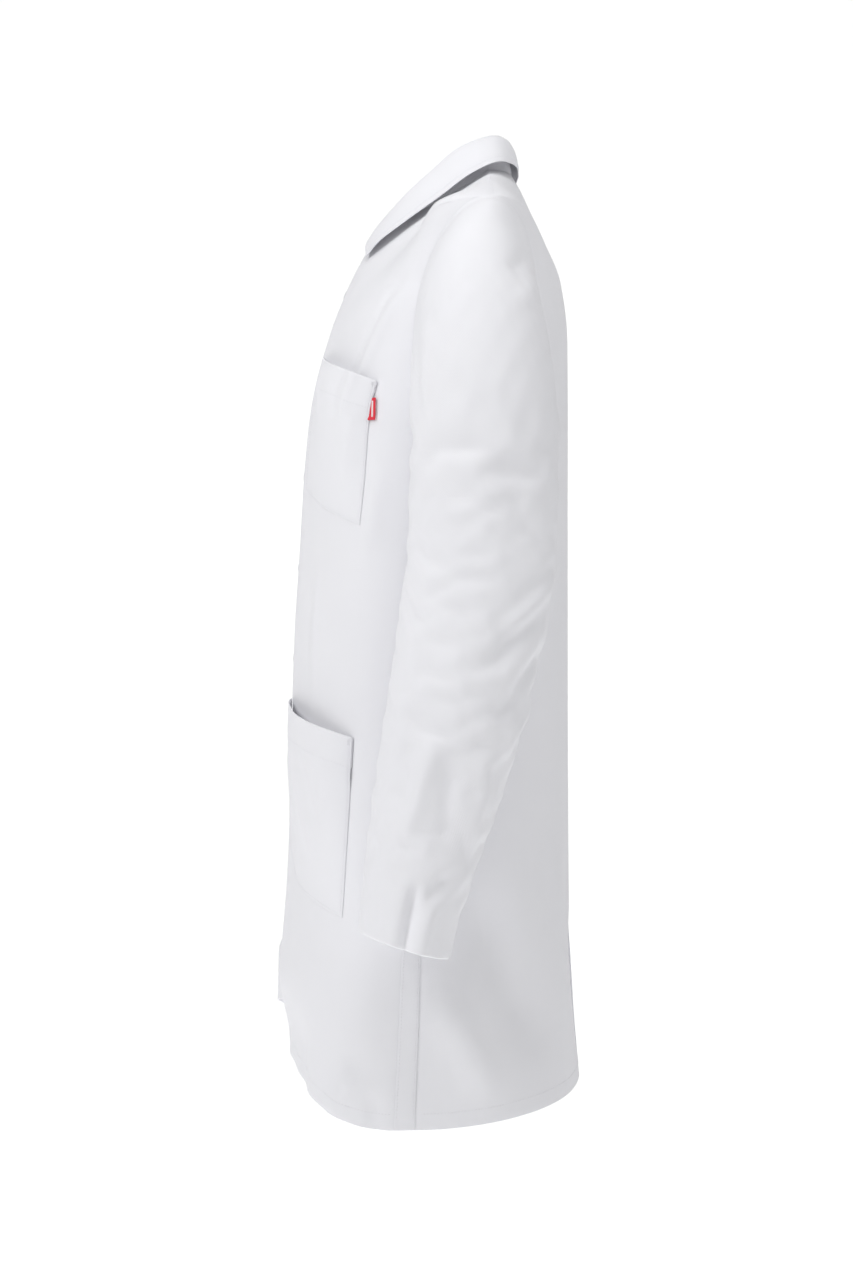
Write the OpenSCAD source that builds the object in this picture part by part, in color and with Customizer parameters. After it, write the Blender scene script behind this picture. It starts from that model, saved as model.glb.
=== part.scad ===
// Lab coat with a shirt collar, long sleeves, one chest pocket, two hip
// pockets and a snap front. Millimetres. The front faces -Y, the wearer's
// left is +X. The origin is the middle of the neck opening, level with the
// seam at the nape. Every cloth piece is a thin closed shell on one shared
// body surface or on one sleeve surface.

/* [Body] */
// Depth of the hem below the nape at the centre back
hem_back = 928; // [900:1:950]
// Depth of the hem below the nape at the side seams
hem_side = 943; // [920:1:960]
// Depth of the hem below the nape at the centre front
hem_front = 896; // [880:1:915]
// Half of the body width at the underarm
underarm_half_w = 181; // [178:0.5:182]
// Half of the body width at the hem
hem_half_w = 230; // [222:1:236]
// Level at which the front panels are cut into bodice and skirt
waist_z = -430; // [-440:1:-425]

/* [Fabric] */
// Thickness of one layer of cloth, stiffened for handling
cloth_t = 1.2; // [1:0.1:1.4]
// Clear space between neighbouring layers
layer_gap = 0.4; // [0.3:0.05:0.5]
// Clear space between a panel and a flat piece inside or on it
inner_gap = 1.5; // [1.4:0.1:1.7]
// Clear space between pieces that move against each other
move_gap = 2; // [1.6:0.1:2.4]

/* [Front closure] */
// How far each front passes the centre line
overlap = 17.5; // [15:0.5:19]
// Width of the facing inside each front edge
facing_w = 62; // [50:1:66]
// Diameter of the snap caps
snap_d = 10.5; // [9:0.5:12]
// Height of the first snap
snap_top_z = -124; // [-128:1:-120]
// Spacing of the snaps
snap_pitch = 95; // [92:1:96]

/* [Sleeve] */
// Thickness of the sleeve cloth
sleeve_t = 1.5; // [1.2:0.1:1.8]
// Width of the turned hem of the sleeve
sleeve_hem_w = 20; // [16:1:24]

/* [Pockets] */
// How far a pocket stands off the panel at its mouth
pocket_gape = 13; // [11:0.5:14]
// Length of the red tag on the chest pocket
tag_len = 20; // [16:1:24]
// Width of the red tag beyond the pocket edge
tag_w = 8; // [6:0.5:9]

/* [Neck] */
// Width of the hanger loop between its ends
loop_w = 56; // [50:1:62]
// Drop of the hanger loop
loop_drop = 18; // [16:1:20]

/* [Hidden] */
cloth = "whitesmoke";
cloth_lining = "gainsboro";
snap_metal = "silver";
tag_red = "crimson";

// ---- outline of the body, given by height ---------------------------------
neck_side_z = -8;
neck_front_z = -70;
armhole_top_z = -58;
armhole_bottom_z = -272;
seam_top_y = -3;
seam_hem_y = -41;
underarm_z = -275;

// Centre front: y by height
front_line = [
    [-943, -173], [-863, -168], [-790, -161], [-727, -156], [-653, -153], [-548, -151],
    [-464, -148], [-401, -144], [-317, -139], [-265, -134], [-228, -128], [-170, -112],
    [-124, -96], [-88, -79], [-70, -71], [-47, -50], [-36, -38], [-20, -19], [0, 2]
];
// Centre back: y by height
back_line = [
    [-943, 146], [-863, 139], [-758, 134], [-548, 133], [-338, 133], [-181, 132],
    [-118, 126], [-76, 110], [-45, 96], [-18, 84], [0, 74.5]
];
// Widest point: y by height, which is also the line of the side seam
side_line = [
    [-hem_side, seam_hem_y], [underarm_z, seam_top_y],
    [-200, 20], [-120, 42], [armhole_top_z, 48], [0, 48]
];
// Half of the width by height
width_line = [
    [-hem_side, hem_half_w], [underarm_z, underarm_half_w], [-80, underarm_half_w],
    [armhole_top_z, 178], [-54, 172], [-40, 143], [-25, 110], [neck_side_z, 72], [0, 60]
];
// Roundness of the front half and of the back half of a section
front_round_line = [
    [-330, 2.3], [-240, 2.5], [-170, 2.4], [-124, 1.8], [-88, 1.35], [-47, 1.06], [0, 1.06]
];
back_round_line = [[-330, 2.3], [-240, 2.5], [-170, 2.5], [-124, 2.1], [-45, 1.6], [neck_side_z, 1.9], [0, 2]];
centre_blend = 35;
shoulder_round = 2;
shoulder_from_x = 100;
shoulder_to_x = 170;

function mix(a, b, t) = a + (b - a) * t;
function ease(t) = let(c = max(0, min(1, t))) c * c * (3 - 2 * c);
function unit(v) = v / norm(v);
function sign_of(v) = v < 0 ? -1 : 1;

// Point of the body surface. turn is 0 at the centre front, 90 at the side
// seam and 180 at the centre back; a negative turn is past the centre front.
function body_round(turn, z) = lookup(z, turn > 90 ? back_round_line : front_round_line);
function body_x(turn, z) =
    sign_of(sin(turn)) * lookup(z, width_line) * pow(abs(sin(turn)), 2 / body_round(turn, z));
function body_depth(turn, x, z) =
    let(n0 = body_round(turn, z))
    let(shoulder = ease((abs(x) - shoulder_from_x) / (shoulder_to_x - shoulder_from_x)))
    let(n = n0 + max(0, shoulder_round - n0) * min(1, shoulder + exp(-pow(x / centre_blend, 2))))
    pow(max(0, 1 - pow(min(1, abs(x) / lookup(z, width_line)), n)), 1 / n);
function body_y(turn, x, z) =
    let(side = lookup(z, side_line))
    turn > 90
        ? side + (lookup(z, back_line) - side) * body_depth(turn, x, z)
        : side + (lookup(z, front_line) - side) * body_depth(turn, x, z);
function body_point(turn, z) = let(x = body_x(turn, z)) [x, body_y(turn, x, z), z];

probe_turn = 1.5;
probe_z = 3;
function body_normal(turn, z) =
    let(t = turn > 90 ? max(turn, 90 + 2 * probe_turn) : min(turn, 90 - 2 * probe_turn))
    let(zz = min(z, -probe_z - 1))
    let(along = body_point(t + probe_turn, zz) - body_point(t - probe_turn, zz))
    let(up = body_point(t, zz + probe_z) - body_point(t, zz - probe_z))
    unit(cross(along, up));
function lifted(turn, z, lift) = body_point(turn, z) + lift * body_normal(turn, z);

// Turn at which the surface reaches a given x, and a given y in the front
function turn_at_x(x, z) =
    sign_of(x) * asin(pow(min(1, abs(x) / lookup(z, width_line)), body_round(0, z) / 2));
function x_at_depth(part, z, turn, low, high, steps) =
    let(x = (low + high) / 2, beyond = body_depth(turn, x, z) > part)
    steps == 0 ? x : x_at_depth(part, z, turn, beyond ? x : low, beyond ? high : x, steps - 1);
function turn_at_y(y, z, half) =
    let(side = lookup(z, side_line), far = lookup(z, half == 0 ? front_line : back_line))
    let(part = max(0, min(1, (y - side) / (far - side))), wide = lookup(z, width_line))
    let(x = x_at_depth(part, z, half * 180, 0, wide, 14))
    let(t = asin(pow(x / wide, body_round(half * 180, z) / 2)))
    half == 0 ? t : 180 - t;

// Armhole: an upright oval, its middle drifting forward on the way down
armhole_mid_z = (armhole_top_z + armhole_bottom_z) / 2;
armhole_half_h = (armhole_top_z - armhole_bottom_z) / 2;
armhole_half_w = 56;
function armhole_mid_y(z) = mix(47, 18, (armhole_top_z - z) / (2 * armhole_half_h));
function armhole_y(z, way) =
    let(s = (z - armhole_mid_z) / armhole_half_h)
    armhole_mid_y(z) + way * armhole_half_w * sqrt(max(0, 1 - s * s));
function edge_turn(z, half) =
    z >= armhole_top_z || z <= armhole_bottom_z
        ? 90
        : turn_at_y(armhole_y(z, half == 0 ? -1 : 1), z, half);

// Depth of the hem by turn
function hem_z(turn) = lookup(abs(turn), [
    [0, -hem_front], [45, -(hem_front + 22)], [90, -hem_side], [180, -hem_back]
]);

// ---- shells ---------------------------------------------------------------
// Closed shell between two grids of points; wrap closes the columns to a tube
module shell(outer, inner, wrap = false) {
    rows = len(outer);
    cols = len(outer[0]);
    span = wrap ? cols : cols - 1;
    points = concat([for (r = outer) each r], [for (r = inner) each r]);
    base = rows * cols;
    function at(i, j) = i * cols + j % cols;
    polyhedron(points, concat(
        [for (i = [0 : rows - 2], j = [0 : span - 1], h = [0, 1]) h == 0
            ? [at(i, j), at(i + 1, j + 1), at(i + 1, j)]
            : [at(i, j), at(i, j + 1), at(i + 1, j + 1)]],
        [for (i = [0 : rows - 2], j = [0 : span - 1], h = [0, 1]) h == 0
            ? [base + at(i, j), base + at(i + 1, j), base + at(i + 1, j + 1)]
            : [base + at(i, j), base + at(i + 1, j + 1), base + at(i, j + 1)]],
        [for (j = [0 : span - 1], h = [0, 1]) h == 0
            ? [at(0, j), base + at(0, j), base + at(0, j + 1)]
            : [at(0, j), base + at(0, j + 1), at(0, j + 1)]],
        [for (j = [0 : span - 1], h = [0, 1]) let(r = rows - 1) h == 0
            ? [at(r, j), base + at(r, j + 1), base + at(r, j)]
            : [at(r, j), at(r, j + 1), base + at(r, j + 1)]],
        wrap ? [] : [for (i = [0 : rows - 2], h = [0, 1]) h == 0
            ? [at(i, 0), base + at(i + 1, 0), base + at(i, 0)]
            : [at(i, 0), at(i + 1, 0), base + at(i + 1, 0)]],
        wrap ? [] : [for (i = [0 : rows - 2], h = [0, 1]) let(c = cols - 1) h == 0
            ? [at(i, c), base + at(i, c), base + at(i + 1, c)]
            : [at(i, c), base + at(i + 1, c), at(i + 1, c)]]
    ));
}

// Both faces of a cloth layer: the spots are rows of [turn, z, lift]
module layer(spots, t = cloth_t) {
    shell(
        [for (row = spots) [for (s = row) lifted(s[0], s[1], s[2])]],
        [for (row = spots) [for (s = row) lifted(s[0], s[1], s[2] - t)]]
    );
}

// ---- fronts ---------------------------------------------------------------
// The left front lies over the right front near the centre line
front_lift = 2 * cloth_t + inner_gap + layer_gap + move_gap;
lift_full_x = 62;
lift_end_x = 100;
neck_lift_share = 0.42;
neck_lift_h = 34;
lift_top_z = -45;
function lap_lift(x, z, lift) =
    lift * ease((lift_end_x - x) / (lift_end_x - lift_full_x))
        * ease((lift_top_z - z) / (lift_top_z - neck_front_z))
        * mix(neck_lift_share, 1, ease((neck_front_z - z) / neck_lift_h));

// Rows of a front bodice as [height at the centre, height at the side]
shoulder_rows = 3;
armhole_rows = 7;
lower_rows = 4;
function shoulder_side_z(i) = mix(neck_side_z, armhole_top_z, i / shoulder_rows);
function armhole_side_z(i) = armhole_mid_z + armhole_half_h * cos(180 * i / armhole_rows);
function row_heights(centre_top, bottom) = concat(
    [for (i = [0 : shoulder_rows - 1])
        [mix(centre_top, centre_top - 36, i / shoulder_rows), shoulder_side_z(i)]],
    [for (i = [0 : armhole_rows])
        [mix(centre_top - 36, armhole_bottom_z, i / armhole_rows), armhole_side_z(i)]],
    [for (i = [1 : lower_rows])
        let(z = mix(armhole_bottom_z, bottom, i / lower_rows)) [z, z]]
);
panel_cols = 9;
neck_bend = 1.85;
side_gap = 1;
function side_turn(z, half) =
    let(t = edge_turn(z, half), back_off = asin(side_gap / lookup(z, width_line)) * 1.2)
    half == 0 ? t - back_off : t + back_off;

function front_spots(lift) = [
    for (h = row_heights(neck_front_z, waist_z + move_gap / 2))
        let(first = turn_at_x(-overlap, h[0]), last = side_turn(h[1], 0))
        [for (j = [0 : panel_cols])
            let(turn = mix(first, last, j / panel_cols))
            let(z = mix(h[0], h[1], pow(sin(90 * max(0, turn) / last), neck_bend)))
            [turn, z, lap_lift(body_x(turn, z), z, lift)]]
];
skirt_rows = 8;
skirt_top_z = waist_z - move_gap / 2;
function skirt_z(turn, v) = mix(skirt_top_z, hem_z(turn), v);
function skirt_spots(lift) = [
    for (i = [0 : skirt_rows])
        let(v = i / skirt_rows)
        let(first = turn_at_x(-overlap, skirt_z(0, v)), last = side_turn(skirt_z(90, v), 0))
        [for (j = [0 : panel_cols])
            let(turn = mix(first, last, j / panel_cols), z = skirt_z(turn, v))
            [turn, z, lap_lift(body_x(turn, z), z, lift)]]
];
module front_bodice(lift) {
    layer(front_spots(lift));
}
module front_skirt(lift) {
    layer(skirt_spots(lift));
}

// Facing: a strip behind the front edge, one layer further in
facing_cols = 3;
facing_rows = 12;
facing_top_z = neck_front_z - 34;
function facing_spots(top, bottom, lift) = [
    for (i = [0 : facing_rows])
        [for (j = [0 : facing_cols])
            let(x = mix(-overlap, -overlap + facing_w, j / facing_cols))
            let(z = mix(top, bottom, i / facing_rows))
            [turn_at_x(x, z), z, lap_lift(x, z, lift) - cloth_t - inner_gap]]
];
module facing(top, bottom, lift) {
    layer(facing_spots(top, bottom, lift));
}
module left_front_panel() {
    color(cloth) front_bodice(front_lift);
}
module right_front_panel() {
    color(cloth) mirror([1, 0, 0]) front_bodice(0);
}
module left_front_skirt() {
    color(cloth) front_skirt(front_lift);
}
module right_front_skirt() {
    color(cloth) mirror([1, 0, 0]) front_skirt(0);
}
facing_margin = 2;
facing_split = waist_z + move_gap / 2;
module left_front_facing() {
    color(cloth_lining) facing(facing_top_z, facing_split, front_lift);
}
module right_front_facing() {
    color(cloth_lining) mirror([1, 0, 0]) facing(facing_top_z, facing_split, 0);
}
module left_skirt_facing() {
    color(cloth_lining) facing(skirt_top_z, -hem_front + facing_margin, front_lift);
}
module right_skirt_facing() {
    color(cloth_lining) mirror([1, 0, 0]) facing(skirt_top_z, -hem_front + facing_margin, 0);
}

// ---- backs ----------------------------------------------------------------
centre_seam_turn = 0.15;
back_rows = concat(
    row_heights(0, waist_z),
    [for (i = [1 : 6]) [mix(waist_z, -hem_back, i / 6), mix(waist_z, -hem_side, i / 6)]]
);
function back_spots() = [
    for (h = back_rows)
        let(first = side_turn(h[1], 1), last = 180 - centre_seam_turn)
        [for (j = [0 : panel_cols])
            let(s = j / panel_cols)
            [mix(first, last, s), mix(h[1], h[0], s), 0]]
];
module back_half() {
    layer(back_spots());
}
module left_back_panel() {
    color(cloth) back_half();
}
module right_back_panel() {
    color(cloth) mirror([1, 0, 0]) back_half();
}

// Underlap behind the open vent at the foot of the centre back seam
vent_h = 225;
vent_w = 38;
vent_cols = 3;
module vent_underlap() {
    color(cloth_lining) layer([
        for (i = [0 : 4])
            let(z = mix(-hem_back + vent_h, -hem_back + facing_margin, i / 4))
            [for (j = [0 : vent_cols])
                let(x = mix(vent_w, 1, j / vent_cols))
                [180 - turn_at_x(x, z), z, -cloth_t - inner_gap]]
    ]);
}

// Felled side seam: a raised strip on the back panel beside the seam
seam_w = 14;
seam_rows = 6;
function seam_spots() = [
    for (i = [0 : seam_rows])
        let(z = mix(underarm_z - 6, -hem_side + facing_margin, i / seam_rows))
        let(first = side_turn(z, 1), wide = seam_w / lookup(z, width_line) * 60)
        [for (j = [0 : 1]) [first + j * wide, z, cloth_t + layer_gap / 2]]
];
module side_seam() {
    layer(seam_spots(), cloth_t);
}
module left_side_seam() {
    color(cloth) side_seam();
}
module right_side_seam() {
    color(cloth) mirror([1, 0, 0]) side_seam();
}

// ---- collar ---------------------------------------------------------------
// Three rings from the centre front (0) to the centre back (1): the neck seam,
// the fold along the top and the free edge of the leaf
fold_half_w = 64;
fold_front_y = -71;
fold_back_y = 68;
collar_cols = 14;
seam_clear = 1.2;
fold_height = [
    [-72, -68], [-65, -60], [-52, -46], [-34, -28], [-10, -7], [16, 16], [42, 30], [60, 37], [69, 38]
];
function seam_ring(s) =
    let(turn = 180 * s)
    let(z = turn <= 90
        ? mix(neck_front_z, neck_side_z, pow(sin(turn), neck_bend))
        : mix(neck_side_z, 0, (turn - 90) / 90))
    body_point(turn, z - 0.5) + [0, 0, 0.5 + seam_clear];
function fold_ring(s) =
    let(y = mix(fold_front_y, fold_back_y, (1 - cos(180 * s)) / 2))
    [fold_half_w * sin(180 * s), y, lookup(y, fold_height)];
leaf_edge = [
    [0, [44, -82, -94]], [0.14, [63, -66, -79]], [0.3, [79, -38, -63]], [0.45, [91, -4, -43]],
    [0.6, [95, 30, -17]], [0.75, [82, 60, -2]], [0.88, [42, 77, -2]], [1, [0, 80, -1]]
];
function edge_ring(s) = [for (k = [0 : 2]) lookup(s, [for (e = leaf_edge) [e[0], e[1][k]]])];

// One ring of the collar moved outward by a given distance
function outward(p, d) =
    let(flat = [p[0] / fold_half_w, p[1] / (fold_back_y * 1.1), 0.4])
    p + d * unit(flat);
collar_front = 0.03;
stand_top_drop = 3;
stand_least_h = 2;
// Place on the fold ring that lies at a given depth y
function fold_share(y) =
    acos(1 - 2 * min(1, max(0, (y - fold_front_y) / (fold_back_y - fold_front_y)))) / 180;
function stand_row(v, d) = [
    for (j = [collar_cols : -1 : -collar_cols])
        let(low = seam_ring(1 - (1 - collar_front) * abs(j) / collar_cols))
        let(high = fold_ring(fold_share(low[1])) - [0, 0, stand_top_drop])
        let(top = [high[0], high[1], max(high[2], low[2] + stand_least_h)])
        let(q = outward(mix(low, top, v), d))
        [sign_of(j) * q[0], q[1], q[2]]
];
leaf_front = 0.03;
function leaf_row(v, d) = [
    for (j = [collar_cols : -1 : -collar_cols])
        let(s = 1 - (1 - leaf_front) * abs(j) / collar_cols)
        let(bow = 3 * sin(180 * v))
        let(p = mix(fold_ring(s), edge_ring(s), v))
        let(q = outward(p, d + bow))
        [sign_of(j) * q[0], q[1], q[2]]
];
module collar_stand() {
    color(cloth) shell(
        [for (v = [1, 0.5, 0]) stand_row(v, 0)],
        [for (v = [1, 0.5, 0]) stand_row(v, -2 * cloth_t)]
    );
}
leaf_t = 1;
leaf_steps = [0, 0.33, 0.66, 1];
under_lift = 2;
module under_collar() {
    color(cloth_lining) shell(
        [for (v = leaf_steps) leaf_row(v * 0.97, under_lift)],
        [for (v = leaf_steps) leaf_row(v * 0.97, under_lift - leaf_t)]
    );
}
module top_collar() {
    top_lift = under_lift + layer_gap + leaf_t;
    color(cloth) shell(
        [for (v = leaf_steps) leaf_row(v, top_lift)],
        [for (v = leaf_steps) leaf_row(v, top_lift - leaf_t)]
    );
}

// ---- sleeves --------------------------------------------------------------
// A sleeve is a stack of ovals. Each oval has an inner and an outer end in
// the plane across the arm, a front and a rear, and a forward tilt.
sleeve_start_x = 183.5;
sleeve_sides = 24;
elbow_z = -405;
// Below the shoulder: height, front y, rear y, inner x, outer x, tilt
arm_line = [
    [-300, [-28, 108, 187.5, 291, 0]], [elbow_z, [-31, 105, 198, 296, 0]],
    [-458, [-37, 97, 203, 299, 0.1]], [-525, [-45, 80, 209, 303, 0.2]],
    [-612, [-58, 54, 216, 307, 0.28]], [-680, [-67, 30, 222, 310, 0.3]],
    [-758, [-75, 7, 230, 316, 0.31]], [-800, [-80, 2, 234, 320, 0.31]]
];
function arm(z, k) = lookup(z, [for (a = arm_line) [a[0], a[1][k]]]);
// Point of the oval; side turns from the outer end (0) to the front (90)
function arm_point(z, side, t, tilt) =
    let(half_x = (arm(z, 3) - arm(z, 2)) / 2 - t, half_y = (arm(z, 1) - arm(z, 0)) / 2 - t)
    let(y = -half_y * sin(side))
    [(arm(z, 3) + arm(z, 2)) / 2 + half_x * cos(side), (arm(z, 1) + arm(z, 0)) / 2 + y, z - tilt * y];

// Head of the sleeve: ovals that turn from the armhole plane to level
head_steps = 6;
head_end_z = -300;
function bezier(a, b, c, d, t) =
    pow(1 - t, 3) * a + 3 * pow(1 - t, 2) * t * b + 3 * (1 - t) * t * t * c + t * t * t * d;
head_crown = [[sleeve_start_x, armhole_top_z - 2], [226, -74], [288, -150], [291, head_end_z]];
head_underarm = [[sleeve_start_x, armhole_bottom_z], [187.5, head_end_z]];
function head_point(v, side, t) =
    let(crown = bezier(head_crown[0], head_crown[1], head_crown[2], head_crown[3], v))
    let(under = mix(head_underarm[0], head_underarm[1], v))
    let(mid = (crown + under) / 2, half = (crown - under) / 2)
    let(arm_half = half * (1 - t / norm(half)))
    let(mid_y = mix(armhole_mid_y(armhole_mid_z), (arm(head_end_z, 0) + arm(head_end_z, 1)) / 2, v))
    let(half_y = mix(armhole_half_w, (arm(head_end_z, 1) - arm(head_end_z, 0)) / 2, ease(v)) - t)
    [mid[0] + arm_half[0] * cos(side), mid_y - half_y * sin(side), mid[1] + arm_half[1] * cos(side)];
function ring_sides() = [for (j = [0 : sleeve_sides - 1]) 360 * j / sleeve_sides];

elbow_cut_tilt = 0.72;
elbow_nest = 4.2;
nest_taper = 2.6;
nest_fade = 170;
nest_rise = 26;
nest_tilt = 0.265;
function upper_rows(t) = concat(
    [for (i = [0 : head_steps]) [for (s = ring_sides()) head_point(i / head_steps, s, t)]],
    [for (w = [0.25, 0.55, 0.8])
        [for (s = ring_sides()) arm_point(mix(head_end_z, elbow_z, w), s, t, elbow_cut_tilt * w)]],
    [[for (s = ring_sides()) arm_point(elbow_z, s, t, elbow_cut_tilt)]]
);
lower_z = [elbow_z - 25, -458, -525, -612, -680];
cuff_z = -758;
function lower_rows_of(t) = concat(
    [[for (s = ring_sides()) arm_point(elbow_z + nest_rise, s, t + elbow_nest + nest_taper, nest_tilt)]],
    [for (z = lower_z)
        [for (s = ring_sides()) arm_point(z, s, t + elbow_nest * max(0, 1 - (elbow_z - z) / nest_fade), arm(z, 4))]],
    [[for (s = ring_sides()) arm_point(cuff_z, s, t, arm(cuff_z, 4))]]
);
module upper_sleeve() {
    shell(upper_rows(0), upper_rows(sleeve_t), true);
}
module lower_sleeve() {
    shell(lower_rows_of(0), lower_rows_of(sleeve_t), true);
}
// The turned hem lies inside the end of the sleeve
module sleeve_hem() {
    inset = sleeve_t + layer_gap;
    rows = [for (z = [cuff_z + sleeve_hem_w, cuff_z + 1]) z];
    shell(
        [for (z = rows) [for (s = ring_sides()) arm_point(z, s, inset, arm(z, 4))]],
        [for (z = rows) [for (s = ring_sides()) arm_point(z, s, inset + cloth_t, arm(z, 4))]],
        true
    );
}
module left_upper_sleeve() {
    color(cloth) upper_sleeve();
}
module right_upper_sleeve() {
    color(cloth) mirror([1, 0, 0]) upper_sleeve();
}
module left_lower_sleeve() {
    color(cloth) lower_sleeve();
}
module right_lower_sleeve() {
    color(cloth) mirror([1, 0, 0]) lower_sleeve();
}
module left_sleeve_hem() {
    color(cloth_lining) sleeve_hem();
}
module right_sleeve_hem() {
    color(cloth_lining) mirror([1, 0, 0]) sleeve_hem();
}

// ---- pockets --------------------------------------------------------------
// A patch stands off the panel most at its mouth and lies flat at its edges.
// A frame is [front turn, rear turn, top front z, top rear z, height, chamfer]
pocket_gap = 1;
pocket_cols = 8;
pocket_rows = 7;
function pocket_spot(f, u, v, lift) =
    let(top = mix(f[2], f[3], u), cut = f[5] * max(0, 1 - u / 0.28))
    let(z = mix(top, top - f[4] + cut, v))
    let(turn = mix(f[0], f[1] - 2.2 * v, u))
    let(stand = pocket_gape * pow(sin(180 * u), 0.6) * sin(90 * min(1, 1.25 * (1 - v))))
    [turn, z, lap_lift(body_x(turn, z), z, lift) + cloth_t + pocket_gap + stand];
module patch_pocket(f, lift) {
    layer([for (i = [0 : pocket_rows])
        [for (j = [0 : pocket_cols]) pocket_spot(f, j / pocket_cols, i / pocket_rows, lift)]]);
}
chest_frame = [20, 65, -201, -236, 137, 6];
hip_frame = [14, 65.6, -545, -579, 170, 34];
module chest_pocket() {
    color(cloth) patch_pocket(chest_frame, front_lift);
}
module left_hip_pocket() {
    color(cloth) patch_pocket(hip_frame, front_lift);
}
module right_hip_pocket() {
    color(cloth) mirror([1, 0, 0]) patch_pocket(hip_frame, 0);
}

// Blank folded tag caught in the rear edge of the chest pocket
tag_z = -262;
tag_t = 1.2;
module pocket_tag() {
    turn = chest_frame[1];
    root = lifted(turn, tag_z, 2.4 * cloth_t + layer_gap);
    ahead = lifted(turn + 2, tag_z, 2.4 * cloth_t + layer_gap) - root;
    heading = atan2(ahead[1], ahead[0]);
    color(tag_red)
        translate(root)
            rotate([0, 0, heading])
                translate([0.6, -tag_t, -tag_len / 2])
                    cube([tag_w, tag_t, tag_len]);
}

// ---- inside the neck ------------------------------------------------------
loop_z = -7;
loop_strip_w = 6;
loop_t = 1.2;
loop_lean = 30;
// A flat strip bent to a U whose ends are sewn to the back neck seam
module hanger_loop() {
    end_y = body_y(179, loop_w / 2, loop_z) - cloth_t - loop_t;
    color(cloth_lining)
        translate([0, end_y, loop_z])
            rotate([90 - loop_lean, 0, 0])
                linear_extrude(height = loop_t, center = true)
                    difference() {
                        loop_outline(0);
                        loop_outline(loop_strip_w);
                    }
}
module loop_outline(inset) {
    half = loop_w / 2 - inset;
    intersection() {
        scale_y = (loop_drop - inset) / half;
        polygon([for (a = [180 : 12 : 360]) [half * cos(a), half * sin(a) * scale_y]]);
        translate([-loop_w, -loop_w])
            square([2 * loop_w, loop_w]);
    }
}
label_w = 44;
label_h = 24;
module neck_label() {
    z_top = -34;
    color(cloth_lining) mirrored_layer(label_w / 2, z_top, z_top - label_h);
}
// A small patch across the centre back, inside the back panels
module mirrored_layer(half_w, top, bottom) {
    layer([
        for (i = [0 : 2])
            let(z = mix(top, bottom, i / 2))
            [for (j = [-3 : 3])
                let(x = half_w * j / 3)
                [180 + sign_of(j) * turn_at_back_x(x, z), z, -cloth_t - layer_gap]]
    ], 0.8);
}
function turn_at_back_x(x, z) =
    asin(pow(min(1, abs(x) / lookup(z, width_line)), body_round(180, z) / 2));

// ---- snaps ----------------------------------------------------------------
// A snap is a cap and a socket on the left front, a stud and a post on the
// right front. Each is turned to the slope of the front at its height.
upper_snaps = 3;
lower_snaps = 1;
snap_gap = 0.7;
socket_gap = 1;
cap_h = 1.6;
socket_d = 7;
socket_h = 0.45;
stud_d = 4;
post_d = 9;
function snap_heights(first, count) = [for (i = [0 : count - 1]) snap_top_z - (first + i) * snap_pitch];
function slope_at(z) = let(n = body_normal(0, z)) atan2(n[2], -n[1]);
module on_front(z, lift) {
    translate(lifted(0, z, lift))
        rotate([90 - slope_at(z), 0, 0])
            children();
}
module snap_caps(first, count) {
    for (z = snap_heights(first, count))
        on_front(z, front_lift + 0.3)
            union() {
                cylinder(d = snap_d, h = cap_h * 0.6, $fn = 40);
                translate([0, 0, cap_h * 0.6])
                    cylinder(d = snap_d - 2.4, h = cap_h * 0.4, $fn = 40);
            }
}
module snap_sockets(first, count) {
    for (z = snap_heights(first, count))
        on_front(z, front_lift - 2 * cloth_t - inner_gap - socket_gap - socket_h)
            difference() {
                cylinder(d = socket_d, h = socket_h, $fn = 32);
                translate([0, 0, -1])
                    cylinder(d = stud_d + 1, h = 3, $fn = 32);
            }
}
module snap_studs(first, count) {
    for (z = snap_heights(first, count))
        on_front(z, snap_gap)
            cylinder(d = stud_d, h = socket_h, $fn = 32);
}
module snap_posts(first, count) {
    for (z = snap_heights(first, count))
        on_front(z, -2 * cloth_t - inner_gap - snap_gap - cap_h)
            cylinder(d = post_d, h = cap_h - 0.2, $fn = 40);
}
module upper_snap_caps() {
    color(snap_metal) snap_caps(0, upper_snaps);
}
module upper_snap_sockets() {
    color(snap_metal) snap_sockets(0, upper_snaps);
}
module upper_snap_studs() {
    color(snap_metal) snap_studs(0, upper_snaps);
}
module upper_snap_posts() {
    color(snap_metal) snap_posts(0, upper_snaps);
}
module waist_snap_cap() {
    color(snap_metal) snap_caps(upper_snaps, 1);
}
module waist_snap_socket() {
    color(snap_metal) snap_sockets(upper_snaps, 1);
}
module waist_snap_stud() {
    color(snap_metal) snap_studs(upper_snaps, 1);
}
module waist_snap_post() {
    color(snap_metal) snap_posts(upper_snaps, 1);
}
module hip_snap_cap() {
    color(snap_metal) snap_caps(upper_snaps + 1, 1);
}
module hip_snap_socket() {
    color(snap_metal) snap_sockets(upper_snaps + 1, 1);
}
module hip_snap_stud() {
    color(snap_metal) snap_studs(upper_snaps + 1, 1);
}
module hip_snap_post() {
    color(snap_metal) snap_posts(upper_snaps + 1, 1);
}
module lower_snap_caps() {
    color(snap_metal) snap_caps(upper_snaps + 2, lower_snaps);
}
module lower_snap_sockets() {
    color(snap_metal) snap_sockets(upper_snaps + 2, lower_snaps);
}
module lower_snap_studs() {
    color(snap_metal) snap_studs(upper_snaps + 2, lower_snaps);
}
module lower_snap_posts() {
    color(snap_metal) snap_posts(upper_snaps + 2, lower_snaps);
}

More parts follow.
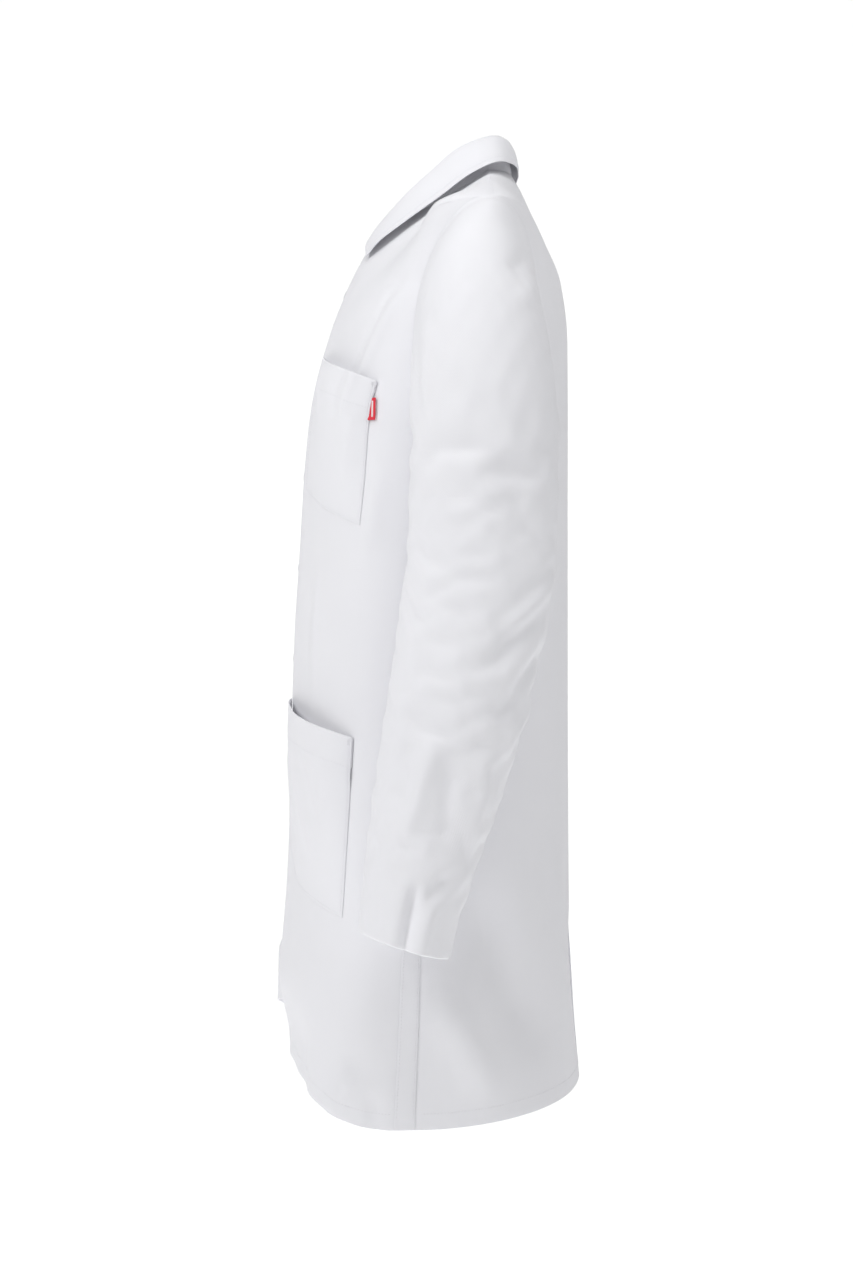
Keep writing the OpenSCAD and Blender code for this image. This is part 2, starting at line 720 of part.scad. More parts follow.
// ---- which pieces are drawn -----------------------------------------------
left_front_panel();
right_front_panel();
left_front_skirt();
right_front_skirt();
left_back_panel();
right_back_panel();
left_side_seam();
right_side_seam();
left_front_facing();
right_front_facing();
left_skirt_facing();
right_skirt_facing();
vent_underlap();
collar_stand();
top_collar();
under_collar();
left_upper_sleeve();
right_upper_sleeve();
left_lower_sleeve();
right_lower_sleeve();
left_sleeve_hem();
right_sleeve_hem();
chest_pocket();
pocket_tag();
left_hip_pocket();
right_hip_pocket();
hanger_loop();
neck_label();
upper_snap_caps();
upper_snap_sockets();
upper_snap_studs();
upper_snap_posts();
waist_snap_cap();
waist_snap_socket();
waist_snap_stud();
waist_snap_post();
hip_snap_cap();
hip_snap_socket();
hip_snap_stud();
hip_snap_post();
lower_snap_caps();
lower_snap_sockets();
lower_snap_studs();
lower_snap_posts();
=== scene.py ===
"""Looks of the lab coat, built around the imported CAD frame.

All shapes are worked out in millimetres on one body surface and one sleeve
surface, the same outlines as the CAD part, and turned into metres when a mesh
is made. The front faces -Y, the wearer's left is +X.
"""

import math

import bpy
import numpy as np
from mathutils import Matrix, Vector

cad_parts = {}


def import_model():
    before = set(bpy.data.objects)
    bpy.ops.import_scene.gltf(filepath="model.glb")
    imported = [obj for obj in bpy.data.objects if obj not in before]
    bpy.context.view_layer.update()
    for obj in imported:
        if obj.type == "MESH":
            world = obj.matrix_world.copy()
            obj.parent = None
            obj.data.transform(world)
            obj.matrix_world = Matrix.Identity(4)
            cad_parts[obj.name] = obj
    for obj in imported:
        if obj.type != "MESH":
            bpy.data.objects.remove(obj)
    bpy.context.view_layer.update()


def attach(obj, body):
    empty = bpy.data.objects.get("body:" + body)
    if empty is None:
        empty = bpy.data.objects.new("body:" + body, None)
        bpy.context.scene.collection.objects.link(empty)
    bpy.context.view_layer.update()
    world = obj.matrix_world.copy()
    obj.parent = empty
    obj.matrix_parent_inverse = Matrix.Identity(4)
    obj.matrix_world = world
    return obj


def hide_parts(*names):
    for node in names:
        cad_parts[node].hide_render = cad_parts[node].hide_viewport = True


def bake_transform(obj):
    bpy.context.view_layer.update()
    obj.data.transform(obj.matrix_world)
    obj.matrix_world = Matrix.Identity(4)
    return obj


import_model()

MM = 0.001
LEFT = 1
RIGHT = -1
SIDE_NAME = {LEFT: "left", RIGHT: "right"}


# ---- numbers and small functions
def curve(points):
    """A smooth function through the points that never overshoots them."""
    points = sorted(points)
    x = np.array([p[0] for p in points], float)
    y = np.array([p[1] for p in points], float)
    step = np.diff(x)
    rise = np.diff(y) / step
    slope = np.zeros_like(x)
    same = rise[:-1] * rise[1:] > 0
    before = 2 * step[1:] + step[:-1]
    after = step[1:] + 2 * step[:-1]
    with np.errstate(divide="ignore", invalid="ignore"):
        middle = (before + after) / (before / rise[:-1] + after / rise[1:])
    slope[1:-1] = np.where(same, middle, 0)
    slope[0] = rise[0]
    slope[-1] = rise[-1]

    def value(t):
        t = np.clip(np.asarray(t, float), x[0], x[-1])
        i = np.clip(np.searchsorted(x, t, side="right") - 1, 0, len(x) - 2)
        h = step[i]
        s = (t - x[i]) / h
        return (
            (1 + 2 * s) * (1 - s) ** 2 * y[i]
            + s * (1 - s) ** 2 * h * slope[i]
            + s * s * (3 - 2 * s) * y[i + 1]
            + s * s * (s - 1) * h * slope[i + 1]
        )

    return value


def mix(a, b, t):
    return a + (b - a) * t


def ease(t):
    c = np.clip(t, 0, 1)
    return c * c * (3 - 2 * c)


def bump(distance, width):
    return np.exp(-((distance / width) ** 2))


def unit(v):
    return v / np.maximum(np.linalg.norm(v, axis=-1, keepdims=True), 1e-9)


def sin_deg(a):
    return np.sin(np.radians(a))


def cos_deg(a):
    return np.cos(np.radians(a))


def stack(x, y, z):
    return np.stack(np.broadcast_arrays(x, y, z), axis=-1)


# ---- the body surface
HEM_BACK = 928.0
HEM_SIDE = 943.0
HEM_FRONT = 896.0
UNDERARM_W = 181.0
HEM_W = 230.0
NECK_SIDE_Z = -8.0
NECK_FRONT_Z = -70.0
ARMHOLE_TOP_Z = -58.0
ARMHOLE_BOTTOM_Z = -272.0
UNDERARM_Z = -275.0
OVERLAP = 17.5
NECK_BEND = 1.85

front_line = curve([
    (-943, -173), (-863, -168), (-790, -161), (-727, -156), (-653, -153), (-548, -151),
    (-464, -148), (-401, -144), (-317, -139), (-265, -134), (-228, -128), (-170, -112),
    (-124, -96), (-88, -79), (-70, -71), (-47, -50), (-36, -38), (-20, -19), (0, 2),
])
back_line = curve([
    (-943, 146), (-863, 139), (-758, 134), (-548, 133), (-338, 133), (-181, 132),
    (-118, 126), (-76, 110), (-45, 96), (-18, 84), (0, 74.5),
])
side_line = curve([
    (-HEM_SIDE, -41), (UNDERARM_Z, -3), (-200, 20), (-120, 42), (ARMHOLE_TOP_Z, 48), (0, 48),
])
width_line = curve([
    (-HEM_SIDE, HEM_W), (UNDERARM_Z, UNDERARM_W), (-80, UNDERARM_W), (ARMHOLE_TOP_Z, 178),
    (-54, 172), (-40, 143), (-25, 110), (NECK_SIDE_Z, 72), (0, 60),
])
front_round = curve([
    (-330, 2.3), (-240, 2.5), (-170, 2.4), (-124, 1.8), (-88, 1.35), (-47, 1.06), (0, 1.06),
])
back_round = curve([
    (-330, 2.3), (-240, 2.5), (-170, 2.5), (-124, 2.1), (-45, 1.6), (NECK_SIDE_Z, 1.9), (0, 2),
])
CENTRE_BLEND = 35.0
SHOULDER_ROUND = 2.0
SHOULDER_X = (100.0, 170.0)


def body_round(turn, z):
    return np.where(turn > 90, back_round(z), front_round(z))


def body_x(turn, z):
    s = sin_deg(turn)
    return np.sign(s) * width_line(z) * np.abs(s) ** (2 / body_round(turn, z))


def body_depth(n0, x, z):
    shoulder = ease((np.abs(x) - SHOULDER_X[0]) / (SHOULDER_X[1] - SHOULDER_X[0]))
    near = np.minimum(1, shoulder + bump(x, CENTRE_BLEND))
    n = n0 + np.maximum(0, SHOULDER_ROUND - n0) * near
    share = np.minimum(1, np.abs(x) / width_line(z))
    return np.maximum(0, 1 - share ** n) ** (1 / n)


def body_base(turn, z):
    """Point of the smooth body surface: turn 0 is the centre front, 180 the centre back."""
    turn, z = np.broadcast_arrays(np.asarray(turn, float), np.asarray(z, float))
    x = body_x(turn, z)
    side = side_line(z)
    far = np.where(turn > 90, back_line(z), front_line(z))
    y = side + (far - side) * body_depth(body_round(turn, z), x, z)
    return stack(x, y, z)


PROBE_TURN = 1.5
PROBE_Z = 4.0


def half_normal(turn, z):
    z = np.minimum(z, -PROBE_Z - 1)
    along = body_base(turn + PROBE_TURN, z) - body_base(turn - PROBE_TURN, z)
    up = body_base(turn, z + PROBE_Z) - body_base(turn, z - PROBE_Z)
    return unit(np.cross(along, up))


def body_normal(turn, z):
    turn, z = np.broadcast_arrays(np.asarray(turn, float), np.asarray(z, float))
    edge = 2 * PROBE_TURN
    front = half_normal(np.minimum(turn, 90 - edge), z)
    back = half_normal(np.maximum(turn, 90 + edge), z)
    w = ease((turn - 84) / 12)[..., None]
    return unit(front * (1 - w) + back * w)


def turn_at_x(x, z, roundness=front_round):
    share = np.minimum(1, np.abs(x) / width_line(z)) ** (roundness(z) / 2)
    return np.sign(x) * np.degrees(np.arcsin(share))


def turn_at_back_x(x, z):
    return 180 - turn_at_x(x, z, back_round)


def turn_at_y(y, z, back):
    """The turn at which the surface reaches depth y, on the front or on the back."""
    y, z = np.broadcast_arrays(np.asarray(y, float), np.asarray(z, float))
    side = side_line(z)
    far = back_line(z) if back else front_line(z)
    n0 = back_round(z) if back else front_round(z)
    part = np.clip((y - side) / (far - side), 0, 1)
    wide = width_line(z)
    low = np.zeros_like(part)
    high = wide.copy()
    for _ in range(26):
        middle = (low + high) / 2
        beyond = body_depth(n0, middle, z) > part
        low = np.where(beyond, middle, low)
        high = np.where(beyond, high, middle)
    turn = np.degrees(np.arcsin(np.minimum(1, (low / wide) ** (n0 / 2))))
    return 180 - turn if back else turn


ARMHOLE_MID_Z = (ARMHOLE_TOP_Z + ARMHOLE_BOTTOM_Z) / 2
ARMHOLE_HALF_H = (ARMHOLE_TOP_Z - ARMHOLE_BOTTOM_Z) / 2
ARMHOLE_HALF_W = 56.0


def armhole_mid_y(z):
    return mix(47.0, 18.0, (ARMHOLE_TOP_Z - z) / (2 * ARMHOLE_HALF_H))


def armhole_y(z, way):
    s = (z - ARMHOLE_MID_Z) / ARMHOLE_HALF_H
    return armhole_mid_y(z) + way * ARMHOLE_HALF_W * np.sqrt(np.maximum(0, 1 - s * s))


def edge_turn(z, back):
    inside = (z < ARMHOLE_TOP_Z) & (z > ARMHOLE_BOTTOM_Z)
    return np.where(inside, turn_at_y(armhole_y(z, 1 if back else -1), z, back), 90.0)


hem_line = curve([(0, -HEM_FRONT), (45, -(HEM_FRONT + 22)), (90, -HEM_SIDE), (180, -HEM_BACK)])


def hem_z(turn):
    return hem_line(np.abs(turn))


# ---- folds of the worn cloth
# A fold is a soft ridge along a line on the body: ends as (turn, z), width and
# height in millimetres, a negative height being a hollow. Turns are brought to
# millimetres with the mean length of one degree round the body.
MM_PER_TURN = 3.1
# The right front hangs shorter beside the centre and stands a little forward there.
RIGHT_RAISE = 31.0
RIGHT_RAISE_TURN = 12.0
RIGHT_RAISE_SLOPE = 0.09
RIGHT_RAISE_WIDTH = 26.0
RIGHT_RAISE_Z = -770.0
RIGHT_RAISE_FADE = 130.0
BODY_FOLDS = {
    LEFT: [
        ((62, -118), (50, -300), 9, 3.0),
        ((57, -118), (46, -260), 6, -2.4),
        ((72, -300), (66, -420), 14, 2.0),
        ((38, -395), (39, -548), 9, 1.6),
        ((30, -395), (32, -548), 10, -1.2),
        ((104, -690), (140, -905), 30, -9.0),
        ((94, -800), (121, -940), 20, 5.0),
        ((150, -640), (152, -943), 22, 4.0),
        ((170, -760), (182, -960), 16, -13.0),
        ((75, -880), (62, -950), 16, 4.0),
        ((82, -905), (84, -960), 12, -4.0),
        ((38, -840), (40, -960), 22, -4.0),
        ((22, -810), (26, -1050), 70, -16.0),
        ((0, -830), (0, -1050), 40, -11.0),
        ((130, -300), (126, -470), 26, -3.0),
        ((112, -120), (128, -210), 14, 2.6),
        ((118, -360), (104, -520), 18, 3.0),
    ],
    RIGHT: [
        ((60, -120), (48, -310), 9, 3.0),
        ((70, -310), (64, -430), 14, 2.0),
        ((20, -760), (26, -1000), 24, 19.0),
        ((0, -830), (0, -1050), 40, -11.0),
        ((46, -800), (50, -960), 22, -5.0),
        ((100, -700), (128, -920), 28, -7.0),
        ((96, -820), (116, -950), 20, 5.0),
        ((148, -660), (154, -943), 22, 4.0),
        ((128, -320), (122, -470), 24, -3.0),
        ((114, -120), (130, -215), 14, 2.6),
    ],
}


def ridge(a, b, first, last, width, height, softness=0.35):
    """Height at (a, b) of a ridge between two points, fading towards its ends."""
    along = np.array(last, float) - np.array(first, float)
    length = math.hypot(*along)
    along /= length
    s = (a - first[0]) * along[0] + (b - first[1]) * along[1]
    d = (a - first[0]) * along[1] - (b - first[1]) * along[0]
    fade = ease(s / (softness * length)) * ease((length - s) / (softness * length))
    return height * fade * bump(d, width)


LAP_TURNS = (6.0, 14.0)
SEAM_CALM = 0.8
SEAM_CALM_WIDTH = 7.0


def seam_calm(turn, z):
    """Smaller folds at the side seam, which stays straight so the front can swing on it."""
    return 1 - SEAM_CALM * bump(np.abs(turn) - 90, SEAM_CALM_WIDTH) * ease((-320 - z) / 60)


def folds_height(angle, z, folds, mm):
    """Sum of the folds at an angle and a height; mm is the length of one degree."""
    total = np.zeros(np.broadcast(angle, z).shape)
    for first, last, width, height in folds:
        ends = (first[0] * mm, first[1]), (last[0] * mm, last[1])
        total = total + ridge(angle * mm, z, *ends, width, height)
    return total


def side_fold(turn, z, side):
    return folds_height(turn, z, BODY_FOLDS[side], MM_PER_TURN)


def body_fold(turn, z, side):
    """Folds of one side; where the fronts lap, both follow the folds of the left front."""
    own = side_fold(turn, z, side)
    shared = side_fold(turn * side, z, LEFT)
    total = mix(shared, own, ease((turn - LAP_TURNS[0]) / (LAP_TURNS[1] - LAP_TURNS[0])))
    return total * seam_calm(turn, z)


# ---- places on the draped body
class Field:
    """Movement found by the cloth simulation, as a grid that is read bilinearly."""

    def __init__(self, u, v, moves):
        self.u, self.v, self.moves = u, v, moves

    def at(self, u, v):
        u, v = np.broadcast_arrays(np.asarray(u, float), np.asarray(v, float))
        a = np.clip((u - self.u[0]) / (self.u[1] - self.u[0]), 0, len(self.u) - 1.001)
        b = np.clip((v - self.v[0]) / (self.v[1] - self.v[0]), 0, len(self.v) - 1.001)
        i, j = a.astype(int), b.astype(int)
        s, t = (a - i)[..., None], (b - j)[..., None]
        m = self.moves
        return mix(mix(m[j, i], m[j, i + 1], s), mix(m[j + 1, i], m[j + 1, i + 1], s), t)


drape = {}


def body_at(turn, z, lift, side):
    """Point of the draped coat at a distance above the cloth's outer face."""
    turn, z, lift = np.broadcast_arrays(turn, z, lift)
    turn, z = turn.astype(float), z.astype(float)
    point = body_base(turn, z)
    normal = body_normal(turn, z)
    point = point + normal * (lift + body_fold(turn, z, side))[..., None]
    if side == RIGHT:
        beside = bump(turn - RIGHT_RAISE_TURN, RIGHT_RAISE_WIDTH)
        raised = RIGHT_RAISE * beside * ease((RIGHT_RAISE_Z - z) / RIGHT_RAISE_FADE)
        point = point + stack(0, 0, raised) - normal * (RIGHT_RAISE_SLOPE * raised)[..., None]
    point = point * (side, 1, 1)
    if "body" in drape:
        point = point + drape["body"].at(turn * side, z) * seam_calm(turn, z)[..., None]
    return point


def body_out(turn, z, side):
    return body_normal(turn, z) * (side, 1, 1)


# ---- meshes
def grid_normals(grid, wrap):
    if wrap:
        across = np.roll(grid, -1, axis=1) - np.roll(grid, 1, axis=1)
    else:
        across = np.gradient(grid, axis=1)
    down = np.gradient(grid, axis=0)
    return unit(np.cross(down, across))


def support(grid, inset):
    """Adds a row just inside the first and the last row, which keeps the edge crisp."""
    rows = []
    for edge, inner in ((grid[0], grid[1]), (grid[-1], grid[-2])):
        way = inner - edge
        share = np.minimum(0.45, inset / np.maximum(np.linalg.norm(way, axis=-1), 1e-6))
        rows.append(edge + way * share[..., None])
    return np.concatenate([grid[:1], rows[0][None], grid[1:-1], rows[1][None], grid[-1:]])


def run_lengths(grid, axis):
    step = np.linalg.norm(np.diff(grid, axis=axis), axis=-1)
    start = np.zeros_like(np.take(step, [0], axis=axis))
    return np.concatenate([start, np.cumsum(step, axis=axis)], axis=axis)


def edge_nearness(run, axis, reach, first=True, last=True):
    """1 at the real first and last edges of the cloth, fading inwards."""
    near = np.zeros_like(run)
    if first:
        near = np.maximum(near, np.exp(-run / reach))
    if last:
        near = np.maximum(near, np.exp((run - np.take(run, [-1], axis=axis)) / reach))
    return near


def in_scene(name, data):
    obj = bpy.data.objects.new(name, data)
    bpy.context.scene.collection.objects.link(obj)
    return obj


def make_mesh(name, points, faces, material, uvs=None, edge_dark=None, sharp=60):
    mesh = bpy.data.meshes.new(name)
    mesh.from_pydata((np.asarray(points) * MM).tolist(), [], faces)
    if uvs is not None:
        layer = mesh.uv_layers.new(name="cloth_uv")
        flat = np.array([c for face in uvs for c in face], np.float32) * MM
        layer.data.foreach_set("uv", flat.ravel())
    # Per-point weight that darkens the cloth colour near its edges.
    if edge_dark is not None:
        mark = mesh.attributes.new("edge_dark", "FLOAT", "POINT")
        mark.data.foreach_set("value", np.asarray(edge_dark, np.float32))
    mesh.polygons.foreach_set("use_smooth", [True] * len(mesh.polygons))
    mesh.set_sharp_from_angle(angle=math.radians(sharp))
    mesh.materials.append(material)
    mesh.update()
    return in_scene(name, mesh)


EDGE_REACH = 6.0


def cloth(name, grid, thick, material, wrap=False, open_ends=()):
    """A sheet of cloth with real thickness from a grid of points on its outer face.

    Rows run down the cloth and columns run anticlockwise seen from above.
    open_ends names the ends, top or bottom, that carry on in another piece.
    """
    grid = support(grid, thick * 0.7)
    if not wrap:
        grid = np.swapaxes(support(np.swapaxes(grid, 0, 1), thick * 0.7), 0, 1)
    inner = grid - thick * grid_normals(grid, wrap)
    rows, cols = grid.shape[:2]
    span = cols if wrap else cols - 1
    unrolled = np.concatenate([grid, grid[:, :1]], axis=1) if wrap else grid
    u = run_lengths(unrolled, 1)
    v = run_lengths(unrolled, 0) - grid[0, 0, 2]
    near = edge_nearness(
        run_lengths(grid, 0), 0, EDGE_REACH, "top" not in open_ends, "bottom" not in open_ends
    )
    if not wrap:
        near = np.maximum(near, edge_nearness(run_lengths(grid, 1), 1, EDGE_REACH))
    base = rows * cols
    faces, uvs = [], []

    def add(corners, spots):
        faces.append(corners)
        uvs.append([(u[i, j], v[i, j]) for i, j in spots])

    def at(i, j):
        return i * cols + j % cols

    for i in range(rows - 1):
        for j in range(span):
            spots = [(i, j), (i + 1, j), (i + 1, j + 1), (i, j + 1)]
            add([at(*s) for s in spots], spots)
            spots = spots[::-1]
            add([base + at(*s) for s in spots], spots)

    rim_points = []

    def rim(path, outward):
        """Rounds off one edge; path lists the (row, column) spots clockwise round the cloth."""
        start = 2 * base + sum(len(r) for r in rim_points)
        outer = np.array([grid[i, j % cols] for i, j in path[:-1]])
        under = np.array([inner[i, j % cols] for i, j in path[:-1]])
        rim_points.append((outer + under) / 2 + 0.5 * thick * outward)
        count = len(path) - 1
        for k in range(count):
            a, b = path[k], path[k + 1]
            m, n = start + k, start + (k + 1) % count
            add([at(*a), at(*b), n, m], [a, b, b, a])
            add([m, n, base + at(*b), base + at(*a)], [a, b, b, a])

    def outward_at(i, j):
        way = np.zeros(3)
        if i == 0 and "top" not in open_ends:
            way = way + unit(grid[0, j] - grid[2, j])
        if i == rows - 1 and "bottom" not in open_ends:
            way = way + unit(grid[-1, j] - grid[-3, j])
        if not wrap and j == 0:
            way = way + unit(grid[i, 0] - grid[i, 2])
        if not wrap and j == cols - 1:
            way = way + unit(grid[i, -1] - grid[i, -3])
        return way / max(np.linalg.norm(way), 1.0)

    if wrap:
        paths = [
            [(0, j) for j in range(cols + 1)],
            [(rows - 1, cols - j) for j in range(cols + 1)],
        ]
    else:
        paths = [
            [(0, j) for j in range(cols - 1)]
            + [(i, cols - 1) for i in range(rows - 1)]
            + [(rows - 1, j) for j in range(cols - 1, 0, -1)]
            + [(i, 0) for i in range(rows - 1, -1, -1)]
        ]
    for path in paths:
        rim(path, np.array([outward_at(i, j % cols) for i, j in path[:-1]]))
    points = np.concatenate([grid.reshape(-1, 3), inner.reshape(-1, 3), *rim_points])
    # Weight for a darker colour: 1 on the rims and at the cloth's own edges, fading inwards over a few
    # millimetres.
    ones = np.ones(len(points) - 2 * base)
    edge_dark = np.concatenate([near.ravel(), near.ravel(), ones])
    return make_mesh(name, points, faces, material, uvs, edge_dark)


# ---- materials
class Nodes:
    """Short way of adding linked shader nodes to a material."""

    def __init__(self, name):
        self.material = bpy.data.materials.new(name)
        self.material.use_nodes = True
        self.tree = self.material.node_tree
        self.shader = self.tree.nodes["Principled BSDF"]

    def add(self, kind, inputs=(), **settings):
        node = self.tree.nodes.new(kind)
        for key, value in settings.items():
            setattr(node, key, value)
        for key, value in dict(inputs).items():
            if isinstance(value, bpy.types.NodeSocket):
                self.tree.links.new(value, node.inputs[key])
            else:
                node.inputs[key].default_value = value
        return node

    def maths(self, operation, a, b=0.0):
        return self.add("ShaderNodeMath", {0: a, 1: b}, operation=operation).outputs[0]

    def shade(self, factor, dark, light):
        mixer = self.add("ShaderNodeMix", {0: factor, 6: (*dark, 1), 7: (*light, 1)}, data_type="RGBA")
        return mixer.outputs[2]

    def stretched(self, vector, scale):
        return self.add("ShaderNodeMapping", {"Vector": vector, "Scale": scale}).outputs[0]

    def noise(self, vector, scale, detail=2.0):
        noise = self.add(
            "ShaderNodeTexNoise", {"Vector": vector, "Scale": scale, "Detail": detail}
        )
        return noise.outputs["Fac"]

    def set(self, **values):
        for key, value in values.items():
            socket = self.shader.inputs[key.replace("_", " ")]
            if isinstance(value, bpy.types.NodeSocket):
                self.tree.links.new(value, socket)
            else:
                socket.default_value = value

    def with_relief(self, height, strength, depth):
        relief = self.add("ShaderNodeBump", {"Height": height, "Strength": strength, "Distance": depth})
        self.set(Normal=relief.outputs[0])
        return self.material


WEAVE_DEPTH = 0.00012


def woven(name, dark, light, rib, rough, sheen, bump_strength):
    """Twill cloth: diagonal ribs crossed by the weft, soft blotches and a colour made darker near the
    cloth's edges and over its rims.
    """
    n = Nodes(name)
    uv = n.add("ShaderNodeUVMap", uv_map="cloth_uv").outputs[0]
    place = n.add("ShaderNodeTexCoord").outputs["Object"]
    split = n.add("ShaderNodeSeparateXYZ", {0: uv})
    turn = math.tau / rib
    warp = n.maths("MULTIPLY", split.outputs[0], turn)
    weft = n.maths("MULTIPLY", split.outputs[1], turn)
    diagonal = n.maths("SINE", n.maths("ADD", warp, n.maths("MULTIPLY", weft, 0.62)))
    cross = n.maths("SINE", n.maths("SUBTRACT", n.maths("MULTIPLY", weft, 1.9), warp))
    weave = n.maths("ADD", n.maths("MULTIPLY", diagonal, 0.5), n.maths("MULTIPLY", cross, 0.22))
    slub = n.noise(n.stretched(uv, (1.0, 0.06, 1.0)), 900.0)
    fibre = n.noise(place, 2600.0)
    height = n.maths("ADD", weave, n.maths("MULTIPLY", n.maths("ADD", slub, fibre), 0.45))
    blotch = n.noise(place, 7.0, 3.0)
    # The colour is pulled towards the dark tone near each cloth edge and over the rims, by the edge weight
    # made in cloth().
    edge_darkening = n.add("ShaderNodeAttribute", attribute_name="edge_dark").outputs["Fac"]
    tone = n.maths("ADD", n.maths("MULTIPLY", height, 0.10), n.maths("MULTIPLY", blotch, 0.55))
    tone = n.maths("SUBTRACT", n.maths("ADD", tone, 0.32), n.maths("MULTIPLY", edge_darkening, 0.22))
    n.set(
        Base_Color=n.shade(tone, dark, light),
        Roughness=n.maths("ADD", rough - 0.06, n.maths("MULTIPLY", blotch, 0.12)),
        Sheen_Weight=sheen,
        Sheen_Roughness=0.45,
        Specular_IOR_Level=0.28,
    )
    return n.with_relief(height, bump_strength, WEAVE_DEPTH)


def thread(name, dark, light):
    n = Nodes(name)
    place = n.add("ShaderNodeTexCoord").outputs["Object"]
    ply = n.add("ShaderNodeTexWave", {"Vector": place, "Scale": 900.0, "Distortion": 2.0},
                bands_direction="DIAGONAL").outputs["Fac"]
    n.set(Base_Color=n.shade(ply, dark, light), Roughness=0.55, Sheen_Weight=0.2)
    return n.with_relief(ply, 0.4, 0.0001)


def snap_finish(name, dark, light, metallic, rough):
    n = Nodes(name)
    place = n.add("ShaderNodeTexCoord").outputs["Object"]
    cloud = n.noise(place, 160.0, 3.0)
    brush = n.noise(n.stretched(place, (1.0, 1.0, 9.0)), 700.0)
    n.set(
        Base_Color=n.shade(cloud, dark, light),
        Metallic=metallic,
        Roughness=n.maths("ADD", rough, n.maths("MULTIPLY", brush, 0.14)),
    )
    return n.with_relief(brush, 0.15, 0.00005)


COAT = woven(
    "coat_twill", (0.80, 0.80, 0.835), (0.915, 0.915, 0.945),
    rib=0.0011, rough=0.82, sheen=0.12, bump_strength=0.5,
)
LINING = woven(
    "coat_twill_inside", (0.78, 0.78, 0.81), (0.89, 0.89, 0.92),
    rib=0.0011, rough=0.86, sheen=0.10, bump_strength=0.5,
)
TAPE = woven(
    "neck_tape", (0.76, 0.76, 0.78), (0.88, 0.88, 0.90),
    rib=0.0007, rough=0.7, sheen=0.15, bump_strength=0.6,
)
TAG = woven(
    "tag_red", (0.62, 0.018, 0.035), (0.84, 0.045, 0.075),
    rib=0.0006, rough=0.55, sheen=0.25, bump_strength=0.5,
)
TAG_LINE = woven(
    "tag_pale_line", (0.80, 0.70, 0.70), (0.93, 0.88, 0.88),
    rib=0.0006, rough=0.55, sheen=0.25, bump_strength=0.5,
)
THREAD = thread("white_thread", (0.74, 0.74, 0.78), (0.90, 0.90, 0.93))
SNAP_CAP = snap_finish(
    "snap_cap_enamel", (0.66, 0.66, 0.68), (0.80, 0.80, 0.82), metallic=0.0, rough=0.28,
)
SNAP_METAL = snap_finish(
    "snap_steel", (0.50, 0.50, 0.52), (0.70, 0.70, 0.72), metallic=1.0, rough=0.26,
)


# ---- stitches
STITCH_LENGTH = 2.6
STITCH_GAP = 0.7
THREAD_R = 0.26
STITCH_RINGS = 5
STITCH_SIDES = 6


def along_path(path, s, run):
    index = np.clip(np.searchsorted(run, s, side="right") - 1, 0, len(run) - 2)
    share = (s - run[index]) / np.maximum(run[index + 1] - run[index], 1e-9)
    return mix(path[index], path[index + 1], share[:, None])


def stitches(name, runs):
    """Rows of thread stitches; each run is (points on the cloth, outward directions)."""
    points, faces = [], []
    share = np.linspace(0, 1, STITCH_RINGS)
    arch = np.sqrt(np.maximum(0, 1 - (2 * share - 1) ** 4))
    thick = THREAD_R * (0.35 + 0.65 * arch)
    height = THREAD_R * (1.1 * arch - 0.75)
    around = 2 * np.pi * np.arange(STITCH_SIDES) / STITCH_SIDES
    count = 0
    for path, out in runs:
        path, out = np.asarray(path, float), np.asarray(out, float)
        run = np.concatenate([[0], np.cumsum(np.linalg.norm(np.diff(path, axis=0), axis=1))])
        starts = np.arange(0.3, run[-1] - STITCH_LENGTH, STITCH_LENGTH + STITCH_GAP)
        for start in starts:
            s = start + share * STITCH_LENGTH
            spine = along_path(path, s, run)
            up = unit(along_path(out, s, run))
            along = unit(np.gradient(spine, axis=0))
            across = unit(np.cross(along, up))
            centre = spine + up * height[:, None]
            ring = (
                centre[:, None]
                + (up[:, None] * np.sin(around)[None, :, None]
                   + across[:, None] * np.cos(around)[None, :, None]) * thick[:, None, None]
            )
            points.append(ring.reshape(-1, 3))
            for i in range(STITCH_RINGS - 1):
                for j in range(STITCH_SIDES):
                    k = (j + 1) % STITCH_SIDES
                    a, b = count + i * STITCH_SIDES, count + (i + 1) * STITCH_SIDES
                    faces.append([a + j, a + k, b + k, b + j])
            last = count + (STITCH_RINGS - 1) * STITCH_SIDES
            faces.append([count + j for j in range(STITCH_SIDES)][::-1])
            faces.append([last + j for j in range(STITCH_SIDES)])
            count += STITCH_RINGS * STITCH_SIDES
    return make_mesh(name, np.concatenate(points), faces, THREAD, sharp=75)


def bar_tack(place, out, along, length=7.0):
    """Three short rows of stitches side by side over a stress point."""
    across = unit(np.cross(out, along))
    runs = []
    for shift in (-0.5, 0.0, 0.5):
        s = np.linspace(-length / 2, length / 2, 5)[:, None]
        path = place + s * along + shift * across
        runs.append((path, np.repeat(out[None], 5, axis=0)))
    return runs


# ---- body pieces
# Thickness of one cloth, the thin lining cloth, and the air between two layers.
CLOTH = 0.7
LINING_CLOTH = 0.6
LAYER = 0.25
LAP_LIFT = 2.8
NECK_LAP_LIFT = 1.1
LAP_FULL_X = 62.0
LAP_END_X = 100.0
LAP_TOP_Z = -45.0
WAIST_Z = -430.0
HEM_TURN_UP = 17.0
HEM_STITCH = 14.0
FOLD_R = 0.8
HALF_ROLL = np.radians([30, 60, 90, 120, 150, 180])


def lap_lift(x, z, side):
    """How far the left front stands off where it lies over the right one."""
    if side == RIGHT:
        return np.zeros(np.broadcast(x, z).shape)
    across = ease((LAP_END_X - x) / (LAP_END_X - LAP_FULL_X))
    neck = ease((LAP_TOP_Z - z) / (LAP_TOP_Z - NECK_FRONT_Z))
    facing = ease((NECK_FRONT_Z - 2 - z) / 30)
    return across * (NECK_LAP_LIFT * neck + (LAP_LIFT - NECK_LAP_LIFT) * facing)


